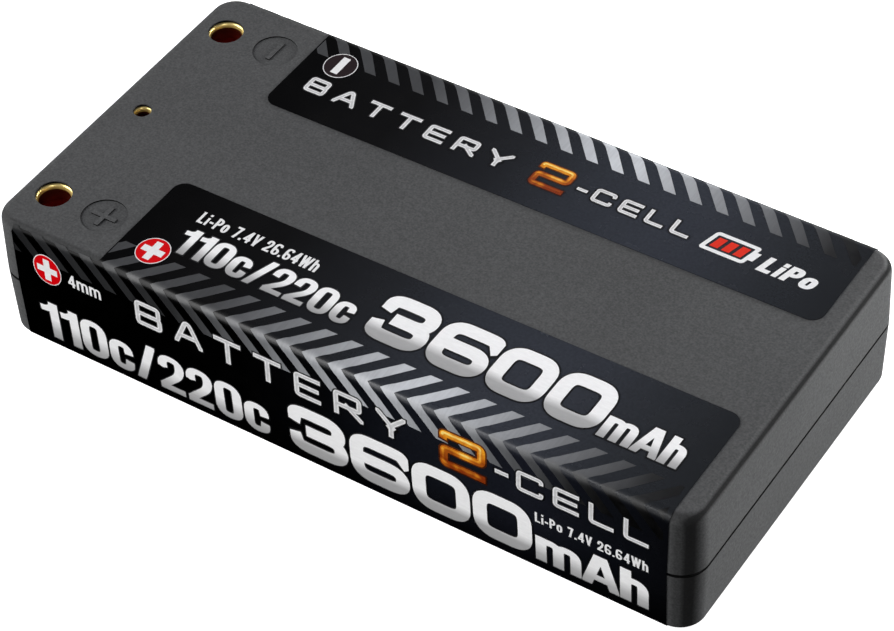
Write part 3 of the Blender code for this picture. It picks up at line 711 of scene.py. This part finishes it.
def gold_plating():
    look = Look("gold_plating", 0.3)
    # Painted shade and painted reflection: below the bright gold lead-in at the top, the bore is
    # painted dark red to near black and is not metallic, standing for its shade and the dark red it
    # reflects.
    depth = look.span(look.axis("Z"), (SOCKET_TOP - 3.0) * MM, SOCKET_TOP * MM)
    bore_shade_and_gold = look.ramp(depth, [(0.15, (0.5, 0.02, 0.015)), (0.33, (0.2, 0.014, 0.008)),
                              (0.5, (0.1, 0.008, 0.004)), (0.62, (0.055, 0.005, 0.002)),
                              (0.81, (0.035, 0.004, 0.001)), (0.84, (0.9, 0.62, 0.18)),
                              (0.95, (1.0, 0.78, 0.3))])
    turned = look.noise(1400.0, 2.0, (0.2, 0.2, 4.0))
    look.colour(look.mix(1.0, bore_shade_and_gold, look.ramp(turned, [(0.3, 0.9), (0.7, 1.0)]), "MULTIPLY"))
    look.feed(look.shader, "Metallic", look.span(depth, 0.81, 0.84, 0.0, 0.6))
    look.rough(turned, 0.26, 0.36)
    look.bump(turned, 0.003, 0.3)
    return look


def fibre(name, dark, light, roughness, scale, depth, stretch=(1.0, 1.0, 1.0)):
    """Paper, foam, board and resin: two tones, mottled and slightly rough."""
    look = Look(name, roughness)
    grain = look.noise(scale, 4.0, stretch)
    look.colour(look.ramp(grain, [(0.32, dark), (0.68, light)]))
    look.rough(look.noise(scale / 3), roughness - 0.08, min(roughness + 0.08, 1.0))
    look.bump(grain, depth, 0.5)
    return look


def electrode_foils():
    look = Look("electrode_foils", 0.7)
    layers = look.math("SINE", look.math("MULTIPLY", look.axis("Z"), 2 * math.pi / (0.15 * MM)))
    look.colour(look.ramp(look.span(layers, -1.0, 1.0), [(0.3, (0.02, 0.02, 0.022)),
                                                        (0.7, (0.2, 0.12, 0.08))]))
    look.rough(look.noise(900.0), 0.6, 0.8)
    look.bump(layers, 0.01, 0.4)
    return look


CASE = charcoal_plastic()
GOLD = gold_plating()


# ------------------------------------------------------------------ case

def case_loop(inset, z):
    """The case outline; inset is measured from the CAD box's side."""
    inset += FILM
    radius = max(CORNER_RADIUS - inset, 0.5)
    half_x = LENGTH / 2 - inset
    half_y = WIDTH / 2 - inset
    return rounded_loop(-half_x, half_x, -half_y, half_y, radius, z)


def fillet_loops(radius, z_flat, z_wall):
    loops = []
    for angle in quarter_turn(FILLET_STEPS):
        inset = DRAFT_INSET + radius * (1 - math.sin(angle))
        loops.append(case_loop(inset, z_wall + (z_flat - z_wall) * math.cos(angle)))
    return loops


def seam_edge(seam, side):
    """The small radius where a case half meets the joint line."""
    loops = []
    for angle in quarter_turn(3):
        loops.append(case_loop(SEAM_EDGE * (1 - math.cos(angle)),
                               seam + side * SEAM_EDGE * (1 - math.sin(angle))))
    return loops


def hole_cutter(y, hole, outer):
    """A socket hole with a rounded rim, and a wider pocket under its lip."""
    top = HEIGHT - FILM
    lip = SOCKET_TOP + CLEARANCE / 2
    rim = 0.12
    radius = hole / 2
    pocket = outer / 2 + CLEARANCE
    loops = [round_loop(SOCKET_X, y, pocket, HEIGHT - WALL - CLEARANCE),
             round_loop(SOCKET_X, y, pocket, lip), round_loop(SOCKET_X, y, radius, lip)]
    for angle in quarter_turn(4):
        loops.append(round_loop(SOCKET_X, y, radius + rim * (1 - math.cos(angle)),
                                top - rim + rim * math.sin(angle)))
    loops.append(round_loop(SOCKET_X, y, radius + rim, HEIGHT + CLEARANCE))
    return stacked(loops)


def mark_cutter(y, arms):
    """A sunken disc with the arms of its sign left standing."""
    top = HEIGHT - FILM
    solids = union([oval(MARK_X, y, MARK_RADIUS, MARK_RADIUS, 96)],
                   [plain_box(MARK_X, y, *arm) for arm in arms])
    bm = bmesh.new()
    verts = [bm.verts.new(Vector((x, v, top - MARK_DEPTH)) * MM) for x, v in solids[0]]
    for face in solids[1]:
        bm.faces.new([verts[index] for index in face])
    bmesh.ops.delete(bm, geom=[vert for vert in bm.verts if not vert.link_faces], context="VERTS")
    for vert in raised_points(bm):
        vert.co.z = (HEIGHT + CLEARANCE) * MM
    return bm


def make_case():
    seam = SEAM + SEAM_GAP / 2
    rebate = WALL - TONGUE_THICKNESS - CLEARANCE - FILM
    shoulder = SEAM + TONGUE_HEIGHT + CLEARANCE
    inner = WALL - FILM
    loops = fillet_loops(TOP_FILLET, HEIGHT - FILM, HEIGHT - FILM - TOP_FILLET)
    loops += seam_edge(seam, 1)
    loops += [case_loop(rebate, seam), case_loop(rebate, shoulder)]
    loops += [case_loop(inner, shoulder), case_loop(inner, HEIGHT - WALL)]
    upper = add_piece("upper_case_moulding", stacked(loops), CASE,
                      ["upper_case"])
    cutters = [hole_cutter(sign * SOCKET_SPREAD, POWER_HOLE, POWER_CONTACT[1]) for sign in (-1, 1)]
    cutters.append(hole_cutter(0.0, BALANCE_HOLE, BALANCE_CONTACT[1]))
    cutters.append(mark_cutter(-SOCKET_SPREAD, [(MARK_ARM, MARK_STROKE), (MARK_STROKE, MARK_ARM)]))
    cutters.append(mark_cutter(SOCKET_SPREAD, [(MARK_STROKE, MARK_ARM)]))
    cut(upper, cutters)
    even_shading(upper)

    seam = SEAM - SEAM_GAP / 2
    tongue = WALL - TONGUE_THICKNESS - FILM
    tip = SEAM + TONGUE_HEIGHT
    loops = fillet_loops(BOTTOM_FILLET, FILM, FILM + BOTTOM_FILLET)
    loops += seam_edge(seam, -1)
    loops += [case_loop(tongue, seam), case_loop(tongue, tip)]
    loops += [case_loop(inner, tip), case_loop(inner, WALL)]
    lower = add_piece("lower_case_moulding", stacked(loops), CASE,
                      ["lower_case"])
    even_shading(lower)


# ------------------------------------------------------------------ sockets

def make_socket(node, y, bore, outer, mouth, collar):
    low, high = (corner.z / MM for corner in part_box(node))
    board_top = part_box("terminal_board")[1].z / MM
    collar_low = board_top + CLEARANCE
    collar_high = collar_low + COLLAR_THICKNESS
    lip = 0.08
    lead = mouth / 2 + 0.04 - bore / 2 + 0.14
    profile = [(outer / 2 - 0.3, low), (outer / 2 - 0.1, low + 0.05), (outer / 2, low + 0.25),
               (outer / 2, collar_low), (collar / 2 - 0.05, collar_low),
               (collar / 2, collar_low + 0.05), (collar / 2, collar_high - 0.05),
               (collar / 2 - 0.05, collar_high), (outer / 2 + 0.05, collar_high),
               (outer / 2, collar_high + 0.05), (outer / 2, high - lip),
               (outer / 2 - lip, high)]
    for step in range(9):
        angle = math.radians(90 * step / 8)
        profile.append((mouth / 2 + 0.04 - lead * math.sin(angle),
                        high - LEAD_DEPTH * (1 - math.cos(angle))))
    profile += [(profile[-1][0], low + 1.1), (profile[-1][0] - 0.1, low + 1.0)]
    loops = [round_loop(SOCKET_X, y, radius, z) for radius, z in profile]
    add_piece(node + "_contact", stacked(loops), GOLD, [node])


# ------------------------------------------------------------------ label

def rounded_outline(corners, steps=8):
    """A polygon given as (x, around, corner radius), with its corners as arcs."""
    points = []
    for index, (x, around, radius) in enumerate(corners):
        corner = Vector((x, around))
        before = (Vector(corners[index - 1][:2]) - corner).normalized()
        after = (Vector(corners[(index + 1) % len(corners)][:2]) - corner).normalized()
        centre = corner + (before + after) * radius
        for angle in quarter_turn(steps):
            points.append(centre - after * radius * math.cos(angle)
                          - before * radius * math.sin(angle))
    return [tuple(point) for point in points]


def make_label():
    shoulder = on_near(HEIGHT - TOP_FILLET) + LABEL_RISE
    near = [on_top(y) for y in LABEL_NEAR_Y]
    far = [on_top(y) - GIRTH for y in LABEL_FAR_Y]
    outline = rounded_outline([
        (LABEL_STRIP_X, far[0], LABEL_CORNER), (LABEL_END_X, far[1], LABEL_CORNER),
        (LABEL_END_X, near[1], LABEL_CORNER), (LABEL_STRIP_X, near[0], LABEL_CORNER),
        (LABEL_STRIP_X, shoulder, LABEL_SHOULDER), (LABEL_SIDE_X, shoulder, LABEL_SHOULDER),
        (LABEL_SIDE_X, -shoulder, LABEL_SHOULDER), (LABEL_STRIP_X, -shoulder, LABEL_SHOULDER)])
    film = ink("wrapped_label_film", union([outline]), LABEL_GAP, label_film(),
               thickness=FILM - LABEL_GAP, replaced=["wrap_label"])
    even_shading(film)


# Both edges of a stripe, measured from its tip: on the fold, where the fillet ends and at
# the stripe's own end, which is REACH from the fold
STRIPE_TIP = -23.2
STRIPE_PITCH = 3.39
STRIPE_COUNTS = range(-7, 20)
STRIPE_MARGINS = (0.15, 0.6)
STRIPE_LIFT = 0.002
TOP_REACH = 3.95
TOP_EDGES = ((0.0, 1.25, 3.9), (1.75, 2.95, 5.45))
SIDE_REACH = 3.65
SIDE_EDGES = ((0.0, 1.4, 3.85), (1.75, 3.1, 5.4))


def make_stripes():
    """Leaning bars that meet in chevrons on the near and far top edges."""
    look = stripe_ink()
    arc = TOP_FILLET * math.pi / 4
    edge = on_near(HEIGHT - TOP_FILLET) + arc
    for name, middle, inward in (("near", edge, 1), ("far", GIRTH - edge, -1)):
        shapes = []
        for count in STRIPE_COUNTS:
            tip = STRIPE_TIP + count * STRIPE_PITCH
            for reach, (left, right), side, start in (
                    (TOP_REACH, TOP_EDGES, inward, LABEL_STRIP_X),
                    (SIDE_REACH, SIDE_EDGES, -inward, LABEL_SIDE_X)):
                levels = [middle, middle + side * arc, middle + side * reach]
                for part in (0, 1):
                    bar = [(tip + left[part], levels[part]), (tip + right[part], levels[part]),
                           (tip + right[part + 1], levels[part + 1]),
                           (tip + left[part + 1], levels[part + 1])]
                    bar = clipped(bar, start + STRIPE_MARGINS[0],
                                  LABEL_END_X - STRIPE_MARGINS[1])
                    if bar:
                        shapes.append(bar)
        ink(f"{name}_edge_stripes", union(shapes), FILM + STRIPE_LIFT, look)


make_case()
make_socket("positive_socket", -SOCKET_SPREAD, *POWER_CONTACT)
make_socket("negative_socket", SOCKET_SPREAD, *POWER_CONTACT)
make_socket("balance_socket", 0.0, *BALANCE_CONTACT)
make_label()
make_stripes()


# ------------------------------------------------------------------ print

LIFT_HALO = FILM + 0.014
LIFT_INK = FILM + 0.026
LAYER_STEP = 0.012
LETTER_SLANT = 0.27
HALO = 0.2
WIDE_HALO = 0.18
BADGE_RING = 0.11
ENERGY = "Li-Po 7.4V 26.64Wh"
FIGURE_FALL = [(0.0, 0.37), (0.18, 0.4), (0.36, 0.93), (1.0, 0.97)]
WORD_FALL = [(0.0, 0.34), (0.22, 0.47), (0.52, 0.92), (1.0, 0.96)]
UPPER_LINE_SHIFT = 6.5
BLACK = plain_ink("black_ink", (0.002, 0.002, 0.0025))
WHITE = plain_ink("white_ink", (0.88, 0.88, 0.88))
RED = plain_ink("red_ink", (0.66, 0.001, 0.004), gloss=0.15)
SIGNAL = plain_ink("signal_red_ink", (0.75, 0.03, 0.012))
MAROON = plain_ink("maroon_ink", (0.013, 0.005, 0.006))
PALE = plain_ink("pale_silver_ink", (0.86, 0.86, 0.86), 0.2)
DULL = plain_ink("dull_silver_ink", (0.68, 0.68, 0.685), 0.25)


def badge(prefix, x, around, radius_x, radius_a, fill, arms):
    """A round polarity badge with a thin pale ring and a white sign."""
    ink(prefix + "_ring", union([oval(x, around, radius_x, radius_a)]), LIFT_HALO, WHITE)
    ink(prefix + "_field", union([oval(x, around, radius_x - BADGE_RING,
                                    radius_a - BADGE_RING)]),
        LIFT_INK, fill)
    sign = union([plain_box(x, around, *arm) for arm in arms])
    ink(prefix + "_sign", sign, LIFT_INK + LAYER_STEP, WHITE)


def leaning(polygon, a0):
    return [(x + (a - a0) * LETTER_SLANT, a) for x, a in polygon]


def small_text(text, x0, x1, a0, cap):
    return strokes(HEAVY, text, x0, x1, a0, cap, cap * 0.172, cap * 0.25, cap * 0.1, 0.1)


def wide_words(text, x0, x1, a0, cap, weight, bend, gap):
    """Halo, bright edge and greyer core of a word in the wide alphabet."""
    place = (text, x0, x1, a0, cap, weight, bend, gap)
    return [("halo", strokes(WIDE, *place, grow=WIDE_HALO), LIFT_HALO, BLACK),
            ("edge", strokes(WIDE, *place), LIFT_INK, PALE),
            ("core", strokes(WIDE, *place, grow=-0.28 * weight), LIFT_INK + INK, DULL)]


def make_top_print():
    figures = silver_ink("silver_ink_top_figures", "Y", -17.5, -10.3, FIGURE_FALL)
    words = silver_ink("silver_ink_top_words", "Y", -17.5, -13.3, WORD_FALL)
    for name, text, x0, x1, y, cap, weight, bend, gap, slim, look in (
            ("capacity", "3600", 0.95, 30.25, -17.5, 7.2, 1.74, 1.75, 0.35, 0.0, figures),
            ("unit", "mAh", 30.55, 40.15, -17.35, 4.15, 0.98, 0.8, 0.12, 0.3, words),
            ("rating", "110c/220c", -24.55, -1.0, -17.55, 4.15, 0.95, 0.85, 0.22, 0.3, words)):
        place = (text, x0, x1, on_top(y), cap, weight, bend, gap, slim)
        ink(f"top_{name}_halo", strokes(HEAVY, *place, grow=HALO), LIFT_HALO, BLACK)
        ink(f"top_{name}", strokes(HEAVY, *place), LIFT_INK, look)
    ink("top_energy", small_text(ENERGY, -24.6, -8.45, on_top(-12.34), 1.84), LIFT_INK, WHITE)
    badge("top_positive_badge", -25.91, on_top(-18.67), 2.02, 2.09, RED, [(2.85, 0.9), (0.88, 3.0)])

    for name, text, x0, x1, y, cap, weight, gap in (
            ("wide_word", "BATTERY", -27.4, 0.6, 12.6, 2.6, 0.52, 1.3),
            ("dash", "-", 9.4, 10.75, 13.1, 2.3, 0.44, 0.8),
            ("cell_word", "CELL", 11.5, 24.1, 13.25, 2.3, 0.48, 0.9)):
        for layer, flat, lift, look in wide_words(text, x0, x1, on_top(y), cap, weight, 0.3, gap):
            ink(f"top_{name}_{layer}", flat, lift, look)
    ember("top", "Y", 3.8, 8.4, on_top(12.2), 4.1, 12.2, 16.3)
    badge("top_negative_badge", -25.79, on_top(18.37), 2.05, 2.22, MAROON, [(0.95, 3.1)])

    base = on_top(12.85)
    case = union([leaning(rounded_box(25.7, 31.3, base, base + 3.3, 0.45), base),
                  leaning(plain_box(31.4, base + 1.65, 0.9, 1.5), base)],
                 [leaning(rounded_box(26.2, 30.8, base + 0.5, base + 2.8, 0.15), base)])
    ink("top_battery_icon", case, LIFT_INK, WHITE)
    bars = [leaning(plain_box(x, base + 1.65, 1.0, 1.7), base) for x in (27.05, 28.5, 29.95)]
    ink("top_battery_icon_bars", union(bars), LIFT_INK, SIGNAL)
    letters, faces = strokes(HEAVY, "LiPo", 32.9, 39.6, base, 2.6, 0.72, 0.5, 0.3, 0.2)
    ink("top_chemistry", (leaning(letters, base), faces), LIFT_INK, WHITE)


def turned(flat, shift=0.0):
    """The same art for the far side, where it reads upright too."""
    return [(shift - x, GIRTH - around) for x, around in flat[0]], flat[1]


def both_sides(name, flat, lift, look, shift=0.0):
    ink("near_side_" + name, flat, lift, look)
    ink("far_side_" + name, turned(flat, shift), lift, look)


def make_side_print():
    figures = silver_ink("silver_ink_side_figures", "Z", 1.65, 9.2, FIGURE_FALL)
    words = silver_ink("silver_ink_side_words", "Z", 1.5, 7.2, WORD_FALL)
    for name, text, x0, x1, z, cap, weight, bend, gap, slim, look in (
            ("capacity", "3600", -5.1, 26.4, 1.65, 7.5, 1.8, 1.8, 0.35, 0.0, figures),
            ("unit", "mAh", 26.8, 40.7, 1.65, 5.1, 1.36, 1.0, 0.1, 0.3, words),
            ("rating", "110c/220c", -40.0, -7.95, 1.5, 5.8, 1.3, 1.15, 0.28, 0.3, words)):
        place = (text, x0, x1, on_near(z), cap, weight, bend, gap, slim)
        both_sides(name + "_halo", strokes(HEAVY, *place, grow=HALO), LIFT_HALO, BLACK)
        both_sides(name, strokes(HEAVY, *place), LIFT_INK, look)
    both_sides("energy", small_text(ENERGY, 26.85, 40.65, on_near(7.8), 1.52), LIFT_INK, WHITE)
    ink("near_side_contact_size", small_text("4mm", -35.0, -30.35, on_near(11.65), 1.85),
        LIFT_INK, WHITE)
    badge("near_side_badge", -37.95, on_near(12.65), 2.0, 2.2, RED, [(2.85, 0.9), (0.88, 3.15)])
    badge("far_side_badge", -37.95, GIRTH - on_near(12.65), 2.0, 2.2, MAROON, [(2.85, 0.9)])
    for name, text, x0, x1, z, cap, weight, gap in (
            ("wide_word", "BATTERY", -25.5, 10.7, 10.7, 3.65, 0.64, 1.7),
            ("dash", "-", 21.9, 23.6, 11.4, 3.05, 0.6, 1.0),
            ("cell_word", "CELL", 24.55, 40.6, 11.5, 3.05, 0.57, 1.15)):
        for layer, flat, lift, look in wide_words(text, x0, x1, on_near(z), cap, weight, 0.38, gap):
            both_sides(f"{name}_{layer}", flat, lift, look, UPPER_LINE_SHIFT)
    ember("side", "Z", 15.0, 20.75, on_near(10.1), 5.5, 10.1, 15.6)


def ember(place, axis, x0, x1, a0, cap, low, high):
    """The orange figure: a dark rim, a fiery body and a pale glint along its strokes."""
    weight = cap * 0.19
    looks = ember_inks(place, axis, low, high)
    for index, (layer, share, shift) in enumerate((("rim", 1.35, 0.0), ("body", 0.95, 0.0),
                                                   ("glint", 0.3, 0.12))):
        shapes, faces = strokes(WIDE, "2", x0, x1, a0, cap, weight, 0.4, 0.0,
                                grow=(share - 1.0) * weight / 2)
        shapes = [(x - shift * weight, around + shift * weight) for x, around in shapes]
        lift = LIFT_HALO + index * LAYER_STEP
        if place == "side":
            both_sides("cell_count_" + layer, (shapes, faces), lift, looks[index],
                       UPPER_LINE_SHIFT)
        else:
            ink(f"{place}_cell_count_{layer}", (shapes, faces), lift, looks[index])


def make_underside_print():
    frame_line = union([rounded_box(-26.0, 26.0, -9.5, 9.5, 1.5)],
                       [rounded_box(-25.7, 25.7, -9.2, 9.2, 1.2)])
    ink("underside_frame_line", frame_line, LIFT_INK, DULL)
    for name, text, x0, x1, a0, cap, weight, bend in (
            ("capacity", "3600", -20.0, 6.0, -0.5, 6.0, 1.5, 1.5),
            ("unit", "mAh", 7.0, 20.0, -0.5, 4.6, 1.2, 0.9)):
        ink("underside_" + name, strokes(HEAVY, text, x0, x1, a0, cap, weight, bend, 0.3),
            LIFT_INK, DULL)
    ink("underside_energy", small_text(ENERGY, -20.0, 20.0, -6.0, 3.0), LIFT_INK, DULL)


make_top_print()
make_side_print()
make_underside_print()

# ------------------------------------------------------------------ inner parts

INNER = {
    "tin_solder": metal("solder_finish", (0.62, 0.62, 0.6), 0.35),
    "glass_board": fibre("board_finish", (0.01, 0.07, 0.03), (0.02, 0.14, 0.06), 0.4, 1600.0, 0.01),
    "copper_strip": metal("copper_finish", (0.8, 0.38, 0.22), 0.28, (0.2, 3.0, 3.0)),
    "barley_paper": fibre("paper_finish", (0.3, 0.4, 0.28), (0.48, 0.58, 0.44), 0.85, 1200.0, 0.03),
    "polyimide_tape": fibre("tape_finish", (0.5, 0.22, 0.03), (0.66, 0.34, 0.06), 0.3, 500.0, 0.01),
    "pouch_film": metal("pouch_finish", (0.72, 0.73, 0.74), 0.32, scale=600.0, tarnish=0.88),
    "electrode_foils": electrode_foils(),
    "aluminium_tab": metal("aluminium_finish", (0.82, 0.82, 0.83), 0.3, (0.2, 3.0, 3.0)),
    "nickel_tab": metal("nickel_finish", (0.68, 0.65, 0.6), 0.28, (0.2, 3.0, 3.0)),
    "tab_resin": fibre("resin_finish", (0.66, 0.62, 0.5), (0.78, 0.75, 0.64), 0.5, 900.0, 0.01),
    "dark_foam": fibre("foam_finish", (0.025, 0.025, 0.028), (0.07, 0.07, 0.075), 0.92, 2600.0, 0.08),
}


FOAM_STEPS = 6
FOAM_SHARP_ANGLE = 60.0


def foam_block(name, node, edge, crown):
    """A foam pad with soft edges, a little thicker in its middle than at its rim."""
    low, high = (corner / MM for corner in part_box(node))
    loops = []
    for z_face, side in ((low.z, -1), (high.z, 1)):
        rim = []
        for angle in quarter_turn(FOAM_STEPS):
            inset = edge * (1 - math.sin(angle))
            z = z_face - side * (crown + edge * (1 - math.cos(angle)))
            rim.append(rounded_loop(low.x + inset, high.x - inset, low.y + inset, high.y - inset,
                                    1.2, z, 6))
        middle_x, middle_y = (low.x + high.x) / 2, (low.y + high.y) / 2
        inner = []
        for share, drop in ((0.6, crown * 0.4), (0.25, 0.0)):
            inner.append([(middle_x + (x - middle_x) * share, middle_y + (y - middle_y) * share,
                           z_face - side * drop) for x, y, _ in rim[0]])
        ordered = inner[::-1] + rim
        loops += ordered if side < 0 else ordered[::-1]
    piece = add_piece(name, stacked(loops), INNER["dark_foam"], [node],
                      FOAM_SHARP_ANGLE)


foam_block("bottom_foam_sheet", "bottom_foam_pad", 0.12, 0.05)
foam_block("top_foam_sheet", "top_foam_pad", 0.25, 0.1)
foam_block("end_foam_cushion", "end_foam_block", 0.3, 0.0)

for node_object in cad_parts.values():
    if node_object.hide_render:
        continue
    slot_name = node_object.material_slots[0].material.name.split(".")[0]
    node_object.material_slots[0].material = INNER[slot_name].material


# ------------------------------------------------------------------ floor, light and camera

def add_light(name, place, aim, size, power):
    data = bpy.data.lights.new(name, "AREA")
    data.shape = "RECTANGLE"
    data.size, data.size_y = size
    data.energy = power
    light = linked(name, data)
    light.location = place
    light.rotation_euler = (Vector(aim) - Vector(place)).to_track_quat("-Z", "Y").to_euler()


def make_stage():
    look = Look("pale_floor", 0.9, Specular_IOR_Level=0.0, Emission_Strength=0.75)
    look.colour(look.ramp(look.noise(3.0), [(0.3, 0.93), (0.7, 0.95)]))
    bm = bmesh.new()
    bm.faces.new([bm.verts.new((x, y, 0.0)) for x, y in plain_box(0.0, 0.0, 12.0, 12.0)])
    floor = meshed("floor", bm)
    floor.data.materials.append(look.material)
    floor.visible_glossy = False
    floor.visible_diffuse = False

    world = bpy.data.worlds.new("studio")
    world.use_nodes = True
    tree = world.node_tree
    place = tree.nodes.new("ShaderNodeTexCoord").outputs["Generated"]
    split = tree.nodes.new("ShaderNodeSeparateXYZ")
    ramp = tree.nodes.new("ShaderNodeValToRGB")
    tree.links.new(place, split.inputs[0])
    tree.links.new(split.outputs["Z"], ramp.inputs[0])
    tree.links.new(ramp.outputs[0], tree.nodes["Background"].inputs["Color"])
    elements = ramp.color_ramp.elements
    while len(elements) < 4:
        elements.new(0.5)
    for element, position, colour in zip(elements, (0.0, 0.03, 0.22, 0.4), (
            (0.0, 0.0, 0.0, 1.0), (0.55, 0.55, 0.55, 1.0), (0.55, 0.55, 0.55, 1.0),
            (0.165, 0.165, 0.185, 1.0))):
        element.position = position
        element.color = colour
    bpy.context.scene.world = world

    add_light("key", (-0.86, -0.58, 0.46), (0, 0, 0), (1.1, 0.9), 19.5)
    add_light("end", (0.16, 0.2, 0.03), (0.04, 0, 0.01), (0.2, 0.1), 1.8)
    add_light("glint", (0.62, -0.62, 0.45), (-0.04, 0, 0.017), (0.25, 0.25), 1.5)


def make_camera():
    right = Vector((0.8404746, 0.5407783, -0.03407758))
    up = Vector((-0.36093968, 0.60565838, 0.70915476))
    data = bpy.data.cameras.new("camera")
    data.lens = 121.2
    data.shift_x = -0.0007
    data.sensor_width = 36.0
    data.clip_start = 0.01
    camera = linked("camera", data)
    turn = Matrix((right, up, right.cross(up))).transposed()
    camera.matrix_world = Matrix.Translation((0.1397934, -0.20100845, 0.24751969)) @ turn.to_4x4()
    bpy.context.scene.camera = camera
    bpy.context.scene.view_settings.view_transform = "Standard"


make_stage()
make_camera()
